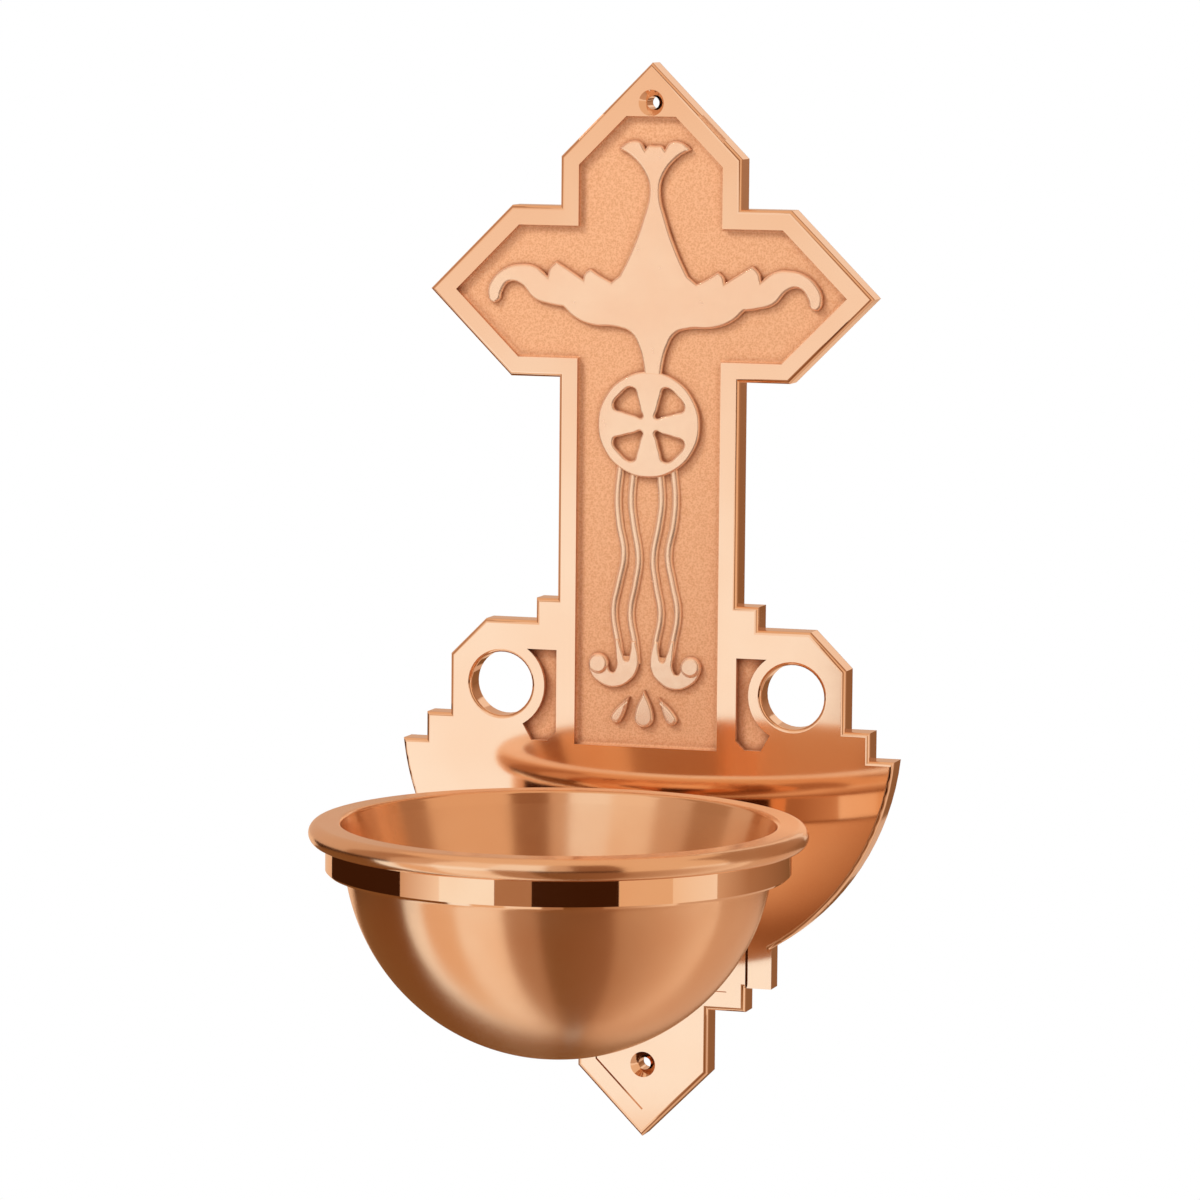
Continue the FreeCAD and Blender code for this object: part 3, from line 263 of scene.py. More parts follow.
# mirror-polished faces, a back left as cast, and a fine sandy grain in the sunk fields, which painted shade
# darkens towards their walls and beside the relief
def makePlateBronze(look):
    material, tree, shader = newMaterial("plateBronze")
    spot = addNode(tree, "ShaderNodeTexCoord").outputs["Object"]
    place = addNode(tree, "ShaderNodeSeparateXYZ", None, {0: spot})
    field = sunkMask(tree, place, look)
    grain = addNode(tree, "ShaderNodeTexVoronoi", {"feature": "F1"},
                    {"Vector": spot, "Scale": 1 / (look["grainSize"] * mm), "Randomness": 1.0})
    sand = addNode(tree, "ShaderNodeTexNoise", None,
                   {"Vector": spot, "Scale": look["sandScale"], "Detail": 3.0, "Roughness": 0.65})
    stipple = math2(tree, "MULTIPLY_ADD", sand.outputs["Fac"], look["sandShare"],
                    math2(tree, "MULTIPLY", grain.outputs["Distance"], look["pitShare"]))
    tone = useGroup(tree, castTone,
                    {"Color": metalLook["polish"], "Warm": metalLook["polishWarm"],
                     "Scale": look["cloudScale"], "Roughness": look["polish"], "Spread": look["polishSpread"]})
    grainColor = mixColor(tree, softStep(tree, stipple, *look["stippleRange"]), metalLook["fieldDark"],
                          metalLook["fieldLight"])
    # painted shade: where ambient occlusion finds walls or relief close by, the field's grain is darkened
    # towards a dark brown
    near = addNode(tree, "ShaderNodeAmbientOcclusion", {"samples": 8}, {"Distance": look["shadeReach"] * mm})
    shade = softStep(tree, near.outputs["AO"], *look["shadeRange"], look["shadeLeast"], 1.0)
    shadedFieldColor = mixColor(tree, math2(tree, "SUBTRACT", 1.0, shade), grainColor,
                          metalLook["fieldCorner"])
    back = math2(tree, "GREATER_THAN", place.outputs["Y"], look["back"] * mm)
    outerColor = mixColor(tree, back, tone.outputs["Color"], metalLook["castBack"])
    outerRough = mixNumber(tree, back, tone.outputs["Roughness"], look["backRough"])
    setInput(tree, shader.inputs["Base Color"], mixColor(tree, field, outerColor, shadedFieldColor))
    setInput(tree, shader.inputs["Roughness"], mixNumber(tree, field, outerRough, look["fieldRough"]))
    setInput(tree, shader.inputs["Metallic"], mixNumber(tree, field, 1.0, look["fieldMetal"]))
    rough = math2(tree, "MAXIMUM", field, back)
    height = math2(tree, "MULTIPLY", math2(tree, "MULTIPLY", stipple, rough), look["grainDepth"])
    swell = math2(tree, "MULTIPLY_ADD", tone.outputs["Height"], look["wave"], height)
    bump = addNode(tree, "ShaderNodeBump", None, {"Strength": 1.0, "Distance": mm, "Height": swell})
    setInput(tree, shader.inputs["Normal"], bump.outputs["Normal"])
    return material


turnedLook = {
    "satin": 0.24,
    "cloudScale": 18.0,
    "spread": 0.05,
    "stretch": 0.85,
    "turn": 0.25,
    "bandDepth": 16.2,
    "bandRadius": 70.0,
    "band": 0.05,
    "lipDepth": 7.2,
    "lipRadius": 67.8,
    "lip": 0.2,
}


# fine lathe lines round the bowl's axis draw its reflections out from rim to foot; what lies above
# the given depth and beyond the given radius has its own polish
def turnedBronze(name, look, depth, radius, polish):
    material, tree, shader = newMaterial(name)
    spot = addNode(tree, "ShaderNodeTexCoord").outputs["Object"]
    toAxis = (0, -bowlAxis * mm, -(tailPoint + rimLevel) * mm)
    centred = addNode(tree, "ShaderNodeMapping", {"vector_type": "POINT"},
                      {"Vector": spot, "Location": toAxis}).outputs[0]
    around = addNode(tree, "ShaderNodeVectorMath", {"operation": "CROSS_PRODUCT"}, {0: (0, 0, 1), 1: centred})
    place = addNode(tree, "ShaderNodeSeparateXYZ", None, {0: centred})
    flat = addNode(tree, "ShaderNodeCombineXYZ", None, {0: place.outputs["X"], 1: place.outputs["Y"]})
    away = addNode(tree, "ShaderNodeVectorMath", {"operation": "LENGTH"},
                   {0: flat.outputs[0]}).outputs["Value"]
    bright = math2(tree, "MULTIPLY", math2(tree, "GREATER_THAN", place.outputs["Z"], -look[depth] * mm),
                   math2(tree, "GREATER_THAN", away, look[radius] * mm))
    tone = useGroup(tree, castTone,
                    {"Color": metalLook["bowl"], "Warm": metalLook["bowlWarm"],
                     "Scale": look["cloudScale"], "Roughness": look["satin"], "Spread": look["spread"]})
    rough = mixNumber(tree, bright, tone.outputs["Roughness"], look[polish])
    setInput(tree, shader.inputs["Base Color"], tone.outputs["Color"])
    setInput(tree, shader.inputs["Roughness"], rough)
    setInput(tree, shader.inputs["Tangent"], around.outputs[0])
    setInput(tree, shader.inputs["Anisotropic"], look["stretch"])
    setInput(tree, shader.inputs["Anisotropic Rotation"], look["turn"])
    setInput(tree, shader.inputs["Metallic"], 1.0)
    return material


plateMaterial = makePlateBronze(plateLook)
carvedLook = {"roughness": 0.24, "wave": 0.03, "metallic": 0.74}
carvedMaterial = plainMetal("carvedBronze", metalLook["carved"], metalLook["carvedWarm"], **carvedLook)
shellMaterial = turnedBronze("shellBronze", turnedLook, "bandDepth", "bandRadius", "band")
linerMaterial = turnedBronze("linerBronze", turnedLook, "lipDepth", "lipRadius", "lip")
bossMaterial = plainMetal("bossBronze", metalLook["boss"], metalLook["bowlWarm"], 0.3)
steelMaterial = plainMetal("screwSteel", metalLook["steel"], metalLook["steelDull"], 0.28)
brassMaterial = plainMetal("screwBrass", metalLook["brass"], metalLook["brassDull"], 0.3)
print("finishes made")

finishes = {
    "mounting_boss": bossMaterial,
    "boss_screw_upper": steelMaterial,
    "boss_screw_lower": steelMaterial,
    "lock_washer_upper": steelMaterial,
    "lock_washer_lower": steelMaterial,
    "bowl_screw_left": brassMaterial,
    "bowl_screw_right": brassMaterial,
}
for node, material in finishes.items():
    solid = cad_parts[node]
    solid.data.materials.clear()
    solid.data.materials.append(material)


def meshFrom(bm, name, turnOut=True):
    bmesh.ops.remove_doubles(bm, verts=bm.verts, dist=0.002 * mm)
    if turnOut:
        bmesh.ops.recalc_face_normals(bm, faces=bm.faces)
    mesh = bpy.data.meshes.new(name)
    bm.to_mesh(mesh)
    bm.free()
    return mesh


# smooth over edges under the given angle, in degrees: the flats, which face the front or stand square to it,
# keep their own normals right up to their edges, and the roundings between them bend to meet these
def smoothSoftEdges(mesh, angle=35, faceOn=0.9999, squareTo=0.001):
    soft = math.cos(math.radians(angle))
    around = [[] for vertex in mesh.vertices]
    for face in mesh.polygons:
        face.use_smooth = True
        for vertex in face.vertices:
            around[vertex].append((face.normal.copy(), face.area))
    normals = []
    for face in mesh.polygons:
        for vertex in face.vertices:
            near = [part for part in around[vertex] if part[0].dot(face.normal) > soft]
            flats = [part for part in near if abs(part[0].y) > faceOn or abs(part[0].y) < squareTo]
            total = Vector((0, 0, 0))
            for normal, area in flats or near:
                total += normal * area
            normals.append(total.normalized())
    mesh.normals_split_custom_set(normals)


def finishPiece(name, mesh, body, material):
    smoothSoftEdges(mesh)
    mesh.materials.clear()
    mesh.materials.append(material)
    piece = bpy.data.objects.new(name, mesh)
    scene.collection.objects.link(piece)
    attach(piece, body)
    return piece


def makePlateCasting():
    bm = bmesh.new()
    bm.from_mesh(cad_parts["back_plate"].data)
    mesh = meshFrom(bm, "plateCasting", turnOut=False)
    return finishPiece("plateCasting", mesh, "stoup", plateMaterial)


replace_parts(makePlateCasting(), "back_plate")
print("plate finished")

reliefLook = {
    "field": -6.8,      # depth of the field's floor from the wall
    "rise": 2.0,        # height of the carving over it
    "sunk": 0.8,        # its root under the floor
    "soft": 1.1,        # rounding of its edges
    "spare": 0.1,       # outline past the solid carving inside it
    "arcSteps": 4,
    "nimbusSoft": 0.8,
    "curveSteps": 6,
    "doveShift": 1.2,
    "nimbusLevel": 237.5,
    "nimbusRadius": 17.4,
    "streamShift": -0.8,
    "streamLevel": 216.0,
    "streamLine": 1.5,  # half the width of the round ridge that each line of a stream is
    "streamDepth": 0.77,  # its height as a share of that
    "curlLevel": 158.1,
    "curlRise": 1.6,
    "curlSoft": 0.6,
    "ball": (15.9, -0.3),
    "ballRadius": 3.4,
    "ballSoft": 1.2,
    "ballRise": 2.3,
    "nimbusSpare": 0.1,  # how much higher than the dove the nimbus stands, where they cross
    "dropLevel": 140.5,
}

# right half of the dove, in mm from its own centre line and the arms' level; a run ends at each sharp corner
doveRuns = [
    [(0.0, 48.4), (2.4, 48.3), (3.4, 47.1)],
    [(3.4, 47.1), (5.0, 49.5), (8.8, 49.7), (12.3, 47.3)],
    [(12.3, 47.3), (7.9, 44.8), (3.1, 38.9), (1.9, 34.0), (4.2, 23.6), (8.2, 13.0), (11.7, 5.9)],
    [(11.7, 5.9), (14.6, 3.5)],
    [(14.6, 3.5), (18.5, 5.5), (21.9, 7.7)],
    [(21.9, 7.7), (23.9, 5.9), (24.3, 4.1)],
    [(24.3, 4.1), (29.0, 7.1), (33.6, 9.9)],
    [(33.6, 9.9), (36.0, 7.4), (36.6, 4.9)],
    [(36.6, 4.9), (41.0, 8.1), (46.0, 8.7), (51.5, 7.3), (55.8, 3.6), (57.3, -0.6), (55.9, -4.0),
     (53.4, -3.4), (52.4, -0.4), (49.8, 2.8), (46.2, 2.4), (41.0, -2.6), (35.8, -4.2), (31.0, -4.9)],
    [(31.0, -4.9), (27.2, -8.3), (21.0, -10.7), (12.0, -11.3), (7.6, -13.0), (4.9, -17.5), (3.4, -23.0),
     (2.8, -28.0)],
]
# one of the nimbus's four openings, from the corner between two arms of the small cross, round to it again
nimbusOpening = [
    (2.3, 2.3), (5.0, 2.85), (9.0, 3.9), (12.1, 5.3), (9.8, 9.8), (5.3, 12.1), (3.9, 9.0), (2.85, 5.0),
]
# middle lines of the right-hand stream, from the stream's level, and the curl that ends it, from its own
streamLines = [
    [(9.0, 8.0), (10.0, -3.0), (9.4, -11.0), (7.6, -21.5),
     (9.3, -31.0), (11.0, -40.0), (9.4, -51.0), (8.1, -58.0)],
    [(4.6, 5.0), (5.2, -4.0), (4.4, -11.0), (2.5, -23.0),
     (3.5, -31.0), (5.2, -41.0), (3.5, -51.5), (3.0, -58.0)],
]
curlRuns = [
    [(3.2, 7.6), (2.1, 1.6), (2.4, -1.6), (4.6, -5.2), (10.0, -7.9), (15.4, -6.6), (18.8, -2.8), (19.1, 1.0),
     (16.2, 3.1), (13.0, 0.6)],
    [(13.0, 0.6), (11.2, -3.1), (9.7, -1.4), (9.8, 3.0), (10.2, 8.0)],
    [(10.2, 8.0), (9.0, 8.0)],
    [(9.0, 8.0), (7.6, 3.4), (6.1, 0.9), (5.0, 3.2), (4.6, 7.6)],
    [(4.6, 7.6), (3.2, 7.6)],
]
# tip, round end and radius of the middle drop and of the right-hand one
drops = [((0.0, 8.9), (0.0, 0.0), 3.3), ((5.2, 6.5), (9.5, -0.3), 1.9)]


# a run's ends are sharp corners, and the points between them are smooth
def knotsOf(runs):
    knots = []
    for run in runs:
        knots.append((*run[0], "VECTOR"))
        knots += [(x, up, "AUTO") for x, up in run[1:-1]]
    return knots


def flipped(knots):
    return [(-x, up, kind) for x, up, kind in reversed(knots)]


def addSpline(curve, knots, across, level, closed):
    spline = curve.splines.new("BEZIER")
    spline.bezier_points.add(len(knots) - 1)
    spline.use_cyclic_u = closed
    for point, (x, up, kind) in zip(spline.bezier_points, knots):
        point.co = (across + x, level + up, 0)
        point.handle_left_type = kind
        point.handle_right_type = kind


# curves are drawn in mm, so that their fill is exact, and stood up on the field as a mesh
def standUp(name, curve, middle, depth=1.0):
    drawn = bpy.data.objects.new(name, curve)
    scene.collection.objects.link(drawn)
    bpy.context.view_layer.update()
    mesh = bpy.data.meshes.new_from_object(drawn.evaluated_get(bpy.context.evaluated_depsgraph_get()))
    bpy.data.objects.remove(drawn)
    bm = bmesh.new()
    bm.from_mesh(mesh)
    bmesh.ops.scale(bm, verts=bm.verts, vec=(1, 1, depth))
    bmesh.ops.rotate(bm, verts=bm.verts, cent=(0, 0, 0), matrix=Matrix.Rotation(math.radians(90), 3, "X"))
    bmesh.ops.translate(bm, verts=bm.verts, vec=(0, middle, tailPoint))
    bmesh.ops.scale(bm, verts=bm.verts, vec=(mm, mm, mm))
    bpy.data.meshes.remove(mesh)
    return bm


def newCurve(name, look, dimensions):
    curve = bpy.data.curves.new(name, "CURVE")
    curve.dimensions = dimensions
    curve.resolution_u = look["curveSteps"]
    curve.bevel_resolution = look["arcSteps"]
    return curve


# closed outlines raised off the field as one slab with softened edges; an outline inside another is a hole
def carve(name, outlines, look, rise=None, soft=None):
    rise, soft = rise or look["rise"], soft or look["soft"]
    half = (rise + look["sunk"]) / 2
    curve = newCurve(name, look, "2D")
    curve.fill_mode = "BOTH"
    curve.bevel_depth = soft
    curve.extrude = half - soft
    curve.offset = look["spare"] - soft
    for knots, across, level in outlines:
        addSpline(curve, knots, across, level, True)
    return standUp(name, curve, look["field"] - rise + half)


def carving(name, bm):
    finishPiece(name, meshFrom(bm, name), "stoup", carvedMaterial)


def makeDove(look):
    right = knotsOf(doveRuns)
    last = (*doveRuns[-1][-1], "VECTOR")
    knots = right + [last] + flipped(right[1:] + [last])
    carving("doveCarving", carve("doveCarving", [(knots, look["doveShift"], armLevel)], look))


def circleKnots(radius, count=12):
    turns = [math.tau * i / count for i in range(count)]
    return [(radius * math.cos(turn), radius * math.sin(turn), "AUTO") for turn in turns]


def makeNimbus(look):
    outlines = [(circleKnots(look["nimbusRadius"]), 0, look["nimbusLevel"])]
    for quarter in range(4):
        cos, sin = round(math.cos(quarter * math.pi / 2)), round(math.sin(quarter * math.pi / 2))
        knots = [(x * cos - up * sin, x * sin + up * cos, "AUTO") for x, up in nimbusOpening]
        outlines.append((knots, 0, look["nimbusLevel"]))
    carving("nimbusCarving", carve("nimbusCarving", outlines, look, look["rise"] + look["nimbusSpare"],
                                    look["nimbusSoft"]))


def makeStreams(look):
    curve = newCurve("streamCarving", look, "3D")
    curve.bevel_depth = look["streamLine"]
    curve.use_fill_caps = True
    for line in streamLines:
        knots = [(x, up, "AUTO") for x, up in line]
        for side in (knots, flipped(knots)):
            addSpline(curve, side, look["streamShift"], look["streamLevel"], False)
    carving("streamCarving", standUp("streamCarving", curve, look["field"], look["streamDepth"]))


def makeCurls(look):
    knots = knotsOf(curlRuns)
    outlines = [(side, look["streamShift"], look["curlLevel"]) for side in (knots, flipped(knots))]
    carving("curlCarving", carve("curlCarving", outlines, look, look["curlRise"], look["curlSoft"]))
    across, up = look["ball"]
    ball = circleKnots(look["ballRadius"])
    level = look["curlLevel"] + up
    balls = [(ball, look["streamShift"] + sign * across, level) for sign in (1, -1)]
    carving("curlBalls", carve("curlBalls", balls, look, look["ballRise"], look["ballSoft"]))


def dropKnots(tip, end, radius):
    along = Vector(tip) - Vector(end)
    lean = math.atan2(along.y, along.x)
    spread = math.acos(radius / along.length)
    turns = [spread, (spread + math.pi) / 2, math.pi, -(spread + math.pi) / 2, -spread]
    touch = [(end[0] + radius * math.cos(lean + turn), end[1] + radius * math.sin(lean + turn), "AUTO")
             for turn in turns]
    return [(*tip, "VECTOR")] + touch


def makeDrops(look):
    middle, side = [dropKnots(*drop) for drop in drops]
    outlines = [(knots, look["streamShift"], look["dropLevel"]) for knots in (middle, side, flipped(side))]
    carving("dropCarving", carve("dropCarving", outlines, look))


makeDove(reliefLook)
makeNimbus(reliefLook)
makeStreams(reliefLook)
makeCurls(reliefLook)
makeDrops(reliefLook)
print("relief carved")


def lineTo(bm, start, across, up):
    end = bm.verts.new((across, 0, up))
    bm.edges.new((start, end))
    return end


# swings the profile's last point about a centre in the profile's own plane, clockwise
def arcTo(bm, start, centre, degrees, steps):
    swung = bmesh.ops.spin(bm, geom=[start], cent=(centre[0], 0, centre[1]), axis=(0, 1, 0),
                           angle=math.radians(degrees), steps=steps, dvec=(0, 0, 0))
    return [item for item in swung["geom_last"] if isinstance(item, bmesh.types.BMVert)][0]


# spins the profile, drawn in mm from the rim's plane, and moves it to the bowl's place
def turnOnAxis(bm, size):
    bmesh.ops.scale(bm, verts=bm.verts, vec=(mm, mm, mm))
    bmesh.ops.spin(bm, geom=bm.verts[:] + bm.edges[:], cent=(0, 0, 0), axis=(0, 0, 1), angle=math.tau,
                   steps=size["steps"], use_merge=True, dvec=(0, 0, 0))
    bmesh.ops.translate(bm, verts=bm.verts, vec=(0, bowlAxis * mm, (tailPoint + rimLevel) * mm))


bowlSize = {
    "mouth": 68.7, "lip": 78.98, "lipThick": 7.0, "lipRound": 1.5,
    "globeDepth": 7.0, "globe": 68.0, "shellWall": 3.0, "linerWall": 1.2, "play": 0.6, "foot": 73.2,
    "band": 73.6, "bandFoot": 15.2, "bandBevel": 0.8, "throat": 2.4, "steps": 240,
}


# slope of the straight run between the mouth and the globe, which it meets as a tangent
def globeSlope(size, radius):
    drop = size["globeDepth"] - size["lipRound"]
    return math.acos(radius / math.hypot(size["mouth"], drop)) - math.atan(drop / size["mouth"])


def makeBowlShell(size):
    bm = bmesh.new()
    deep, globe = size["globeDepth"], size["globe"]
    inner = globe - size["shellWall"]
    slope = globeSlope(size, inner - size["play"] - size["linerWall"])
    floor = size["foot"] - size["shellWall"]
    floorTurn = math.degrees(math.asin((floor - deep) / inner))
    footTurn = math.degrees(math.asin((size["foot"] - deep) / globe))
    bandUnder = size["bandFoot"] + size["bandBevel"]
    throatDrop = bandUnder + size["throat"]
    throatTurn = math.degrees(math.asin((throatDrop - deep) / (globe + size["throat"])))
    throatAway = (globe + size["throat"]) * math.cos(math.radians(throatTurn))
    neck = (inner + (deep - size["lipThick"]) * math.sin(slope)) / math.cos(slope)
    point = bm.verts.new((0, 0, -size["foot"]))
    point = lineTo(bm, point, globe * math.cos(math.radians(footTurn)), -size["foot"])
    point = arcTo(bm, point, (0, -deep), throatTurn - footTurn, 56)
    point = arcTo(bm, point, (throatAway, -throatDrop), 90 - throatTurn, 8)
    point = lineTo(bm, point, size["band"] - size["bandBevel"], -bandUnder)
    point = lineTo(bm, point, size["band"], -size["bandFoot"])
    point = lineTo(bm, point, size["band"], -size["lipThick"])
    point = lineTo(bm, point, neck, -size["lipThick"])
    point = lineTo(bm, point, inner * math.cos(slope), -deep - inner * math.sin(slope))
    point = arcTo(bm, point, (0, -deep), floorTurn - math.degrees(slope), 48)
    lineTo(bm, point, 0, -floor)
    turnOnAxis(bm, size)
    return finishPiece("bowlShellTurned", meshFrom(bm, "bowlShellTurned"), "stoup", shellMaterial)


def makeBowlLiner(size):
    bm = bmesh.new()
    deep = size["globeDepth"]
    outer = size["globe"] - size["shellWall"] - size["play"]
    inner = outer - size["linerWall"]
    slope = globeSlope(size, inner)
    outerFloor = size["foot"] - size["shellWall"] - size["play"]
    innerFloor = outerFloor - size["linerWall"]
    innerTurn = math.degrees(math.asin((innerFloor - deep) / inner))
    outerTurn = math.degrees(math.asin((outerFloor - deep) / outer))
    bull = size["lipThick"] / 2
    neck = (outer + (deep - size["lipThick"]) * math.sin(slope)) / math.cos(slope)
    point = bm.verts.new((0, 0, -innerFloor))
    point = lineTo(bm, point, inner * math.cos(math.radians(innerTurn)), -innerFloor)
    point = arcTo(bm, point, (0, -deep), math.degrees(slope) - innerTurn, 48)
    point = lineTo(bm, point, size["mouth"], -size["lipRound"])
    point = arcTo(bm, point, (size["mouth"] + size["lipRound"], -size["lipRound"]), 90, 8)
    point = lineTo(bm, point, size["lip"] - bull, 0)
    point = arcTo(bm, point, (size["lip"] - bull, -bull), 180, 16)
    point = lineTo(bm, point, neck, -size["lipThick"])
    point = lineTo(bm, point, outer * math.cos(slope), -deep - outer * math.sin(slope))
    point = arcTo(bm, point, (0, -deep), outerTurn - math.degrees(slope), 48)
    lineTo(bm, point, 0, -outerFloor)
    turnOnAxis(bm, size)
    return finishPiece("bowlLinerTurned", meshFrom(bm, "bowlLinerTurned"), "liner", linerMaterial)


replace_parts(makeBowlShell(bowlSize), "bowl_shell")
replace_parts(makeBowlLiner(bowlSize), "bowl_liner")
print("bowl turned")

studio = {
    "floor": -0.46,
    "floorSize": 14.0,
    "floorColor": srgb(236, 234, 231),
    "floorRough": 0.9,
    "ambient": 0.6,
    "lampAround": -45.0,
    "lampOver": 42.0,
    "lampDistance": 1.5,
    "lampSize": 0.4,
    "lampPower": 17.0,
    "glowFoot": (-0.22, 1.0),  # height, and strength of the cards below it
    "glowHead": (0.2, 0.98),
    "cardStep": 4,  # degrees that each facet of a card turns through
}


# white to the eye and to polished metal, and plain to everything else
def backgroundFactor(tree):
    rays = addNode(tree, "ShaderNodeLightPath")
    seen = math2(tree, "MAXIMUM", rays.outputs["Is Camera Ray"], rays.outputs["Is Glossy Ray"])
    return math2(tree, "MAXIMUM", seen, rays.outputs["Is Transmission Ray"])


def makeWorld(level):
    world = bpy.data.worlds.new("studio")
    scene.world = world
    world.use_nodes = True
    tree = world.node_tree
    tree.nodes.clear()
    plain = addNode(tree, "ShaderNodeBackground", None, {"Color": (1, 1, 1, 1), "Strength": level})
    white = addNode(tree, "ShaderNodeBackground", None, {"Color": (1, 1, 1, 1), "Strength": 1.0})
    mix = addNode(tree, "ShaderNodeMixShader", None,
                  {0: backgroundFactor(tree), 1: plain.outputs[0], 2: white.outputs[0]})
    addNode(tree, "ShaderNodeOutputWorld", None, {"Surface": mix.outputs[0]})


def addStage(bm, name, material):
    mesh = bpy.data.meshes.new(name)
    bm.to_mesh(mesh)
    bm.free()
    mesh.materials.append(material)
    item = bpy.data.objects.new(name, mesh)
    scene.collection.objects.link(item)
    return item


def makeFloor(look):
    material, tree, shader = newMaterial("floorPaper")
    setInput(tree, shader.inputs["Base Color"], look["floorColor"])
    setInput(tree, shader.inputs["Roughness"], look["floorRough"])
    white = addNode(tree, "ShaderNodeEmission", None, {"Color": (1, 1, 1, 1), "Strength": 1.0})
    mix = addNode(tree, "ShaderNodeMixShader", None,
                  {0: backgroundFactor(tree), 1: shader.outputs[0], 2: white.outputs[0]})
    setInput(tree, tree.nodes["Material Output"].inputs["Surface"], mix.outputs[0])
    bm = bmesh.new()
    bmesh.ops.create_grid(bm, x_segments=1, y_segments=1, size=look["floorSize"],
                          matrix=Matrix.Translation((0, 0, look["floor"])))
    addStage(bm, "floor", material)


shades = {
    "ink": (0.045, 0.013, 0.004, 1),
    "umber": (0.22, 0.09, 0.03, 1),
    "rust": (0.31, 0.14, 0.07, 1),
    "brown": (0.44, 0.23, 0.13, 1),
    "tan": (0.68, 0.43, 0.29, 1),
    "amber": (0.84, 0.55, 0.36, 1),
    "peach": (0.95, 0.72, 0.56, 1),
    "cream": (1.0, 0.87, 0.78, 1),
    "white": (1.05, 1.05, 1.05, 1),
}
# the two ends of a card's upright section: distance from the middle and height
zones = {
    "whole": ((1.35, -0.455), (1.35, 1.6)),
    "low": ((1.35, -0.455), (1.35, -0.16)),
    "high": ((1.35, -0.16), (1.35, 1.6)),
    "ground": ((0.02, -0.45), (1.35, -0.45)),
    "ceiling": ((0.02, 1.59), (1.35, 1.59)),
}
# cards that show only in reflections: the zone, two bearings in degrees from the front, the right-hand side
# positive, the shades there, and the shade that both turn to at the head
cards = {
    "lowBackLeft": ("low", -180, -126, "amber", "amber", "amber"),
    "lowFarLeft": ("low", -126, -60, "ink", "ink", "ink"),
    "lowLeft": ("low", -60, -38, "tan", "cream", "tan"),
    "key": ("whole", -38, -12, "white", "white", "peach"),
    "lowMiddle": ("low", -12, 5, "brown", "brown", "brown"),
    "lowDark": ("low", 5, 43.5, "ink", "ink", "ink"),
    "lowWarm": ("low", 43.5, 70, "amber", "amber", "amber"),
    "lowRight": ("low", 70, 96, "peach", "cream", "peach"),
    "lowTurn": ("low", 96, 120, "tan", "brown", "tan"),
    "lowBack": ("low", 120, 180, "brown", "umber", "brown"),
    "highBackLeft": ("high", -180, -88, "tan", "tan", "tan"),
    "highFarLeft": ("high", -88, -60, "brown", "brown", "brown"),
    "highLeft": ("high", -60, -38, "brown", "peach", "tan"),
    "highMiddle": ("high", -12, 11, "cream", "cream", "cream"),
    "highSoft": ("high", 11, 22, "amber", "tan", "tan"),
    "highDark": ("high", 22, 43.5, "rust", "rust", "rust"),
    "highWarm": ("high", 43.5, 95, "amber", "amber", "amber"),
    "highRight": ("high", 95, 130, "brown", "brown", "brown"),
    "highTurn": ("high", 130, 168, "brown", "umber", "brown"),
    "highBack": ("high", 168, 180, "peach", "peach", "peach"),
    "groundLeft": ("ground", -180, -70, "umber", "umber", "umber"),
    "groundStrip": ("ground", -70, -57, "white", "white", "white"),
    "groundSoft": ("ground", -57, -36, "amber", "amber", "amber"),
    "groundFront": ("ground", -36, -11, "cream", "peach", "cream"),
    "groundMiddle": ("ground", -11, 6, "brown", "brown", "brown"),
    "groundDark": ("ground", 6, 43, "umber", "rust", "umber"),
    "groundWarm": ("ground", 43, 80, "brown", "tan", "brown"),
    "groundRight": ("ground", 80, 112, "tan", "peach", "tan"),
    "groundBack": ("ground", 112, 180, "tan", "tan", "tan"),
    "ceiling": ("ceiling", -180, 180, "amber", "amber", "amber"),
}


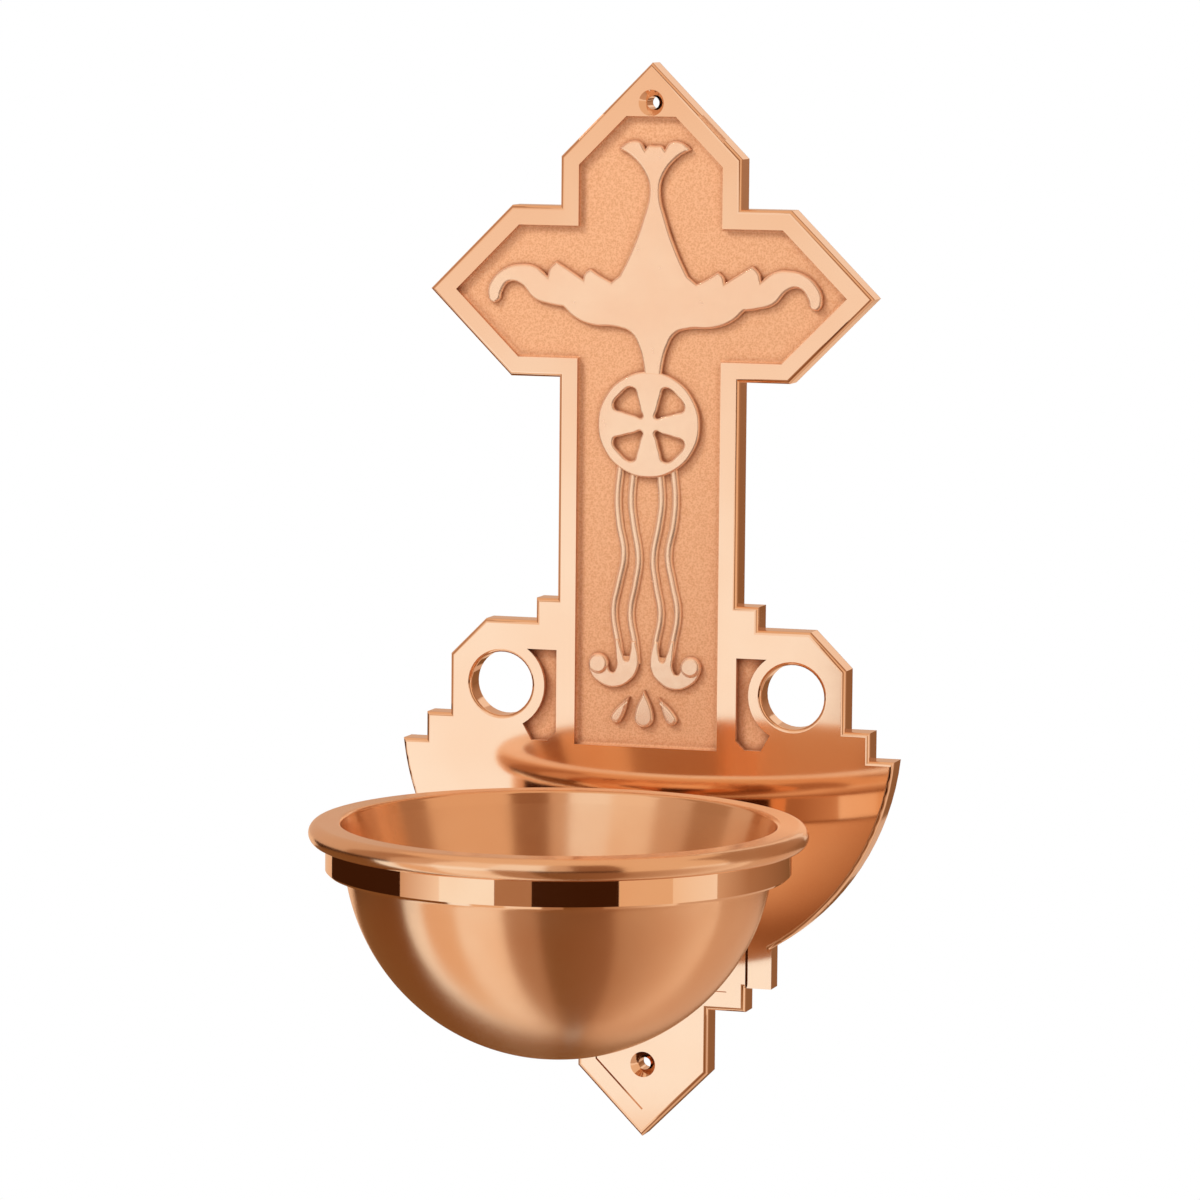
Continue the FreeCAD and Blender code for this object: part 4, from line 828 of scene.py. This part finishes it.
def cardMaterial(name, start, end, first, last, head, look):
    material, tree, shader = newMaterial(name)
    tree.nodes.remove(shader)
    place = addNode(tree, "ShaderNodeSeparateXYZ", None,
                    {0: addNode(tree, "ShaderNodeTexCoord").outputs["Object"]})
    bearing = math2(tree, "ARCTAN2", place.outputs["X"], math2(tree, "MULTIPLY", place.outputs["Y"], -1.0))
    share = addNode(tree, "ShaderNodeMapRange", None,
                    {"Value": bearing, "From Min": math.radians(start), "From Max": math.radians(end)})
    (foot, footGlow), (top, topGlow) = look["glowFoot"], look["glowHead"]
    rise = softStep(tree, place.outputs["Z"], foot, top)
    low = mixColor(tree, share.outputs["Result"], shades[first], shades[last])
    glow = addNode(tree, "ShaderNodeEmission", None,
                   {"Color": mixColor(tree, rise, low, shades[head]),
                    "Strength": mixNumber(tree, rise, footGlow, topGlow)})
    setInput(tree, tree.nodes["Material Output"].inputs["Surface"], glow.outputs[0])
    return material


def makeCard(name, zone, start, end, first, last, head, look):
    bm = bmesh.new()
    turn = math.radians(start)
    ends = [bm.verts.new((away * math.sin(turn), -away * math.cos(turn), height))
            for away, height in zones[zone]]
    facets = math.ceil((end - start) / look["cardStep"])
    bmesh.ops.spin(bm, geom=ends + [bm.edges.new(ends)], cent=(0, 0, 0), axis=(0, 0, 1),
                   angle=math.radians(end - start), steps=facets, dvec=(0, 0, 0))
    card = addStage(bm, name, cardMaterial(name + "Shade", start, end, first, last, head, look))
    card.visible_camera = False
    card.visible_diffuse = False
    card.visible_shadow = False
    card.visible_transmission = False
    card.visible_volume_scatter = False


# one soft lamp from the upper left, which polished metal doesn't show
def makeLamp(look):
    around, over = math.radians(look["lampAround"]), math.radians(look["lampOver"])
    back = Vector((math.sin(around) * math.cos(over), -math.cos(around) * math.cos(over), math.sin(over)))
    light = bpy.data.lights.new("lamp", "AREA")
    light.shape = "DISK"
    light.size = look["lampSize"]
    light.energy = look["lampPower"]
    lamp = bpy.data.objects.new("lamp", light)
    scene.collection.objects.link(lamp)
    aim = back.to_track_quat("Z", "Y").to_matrix().to_4x4()
    lamp.matrix_world = Matrix.Translation(back * look["lampDistance"]) @ aim
    lamp.visible_glossy = False


makeWorld(studio["ambient"])
makeFloor(studio)
for cardName, card in cards.items():
    makeCard(cardName, *card, studio)
makeLamp(studio)
print("studio set")
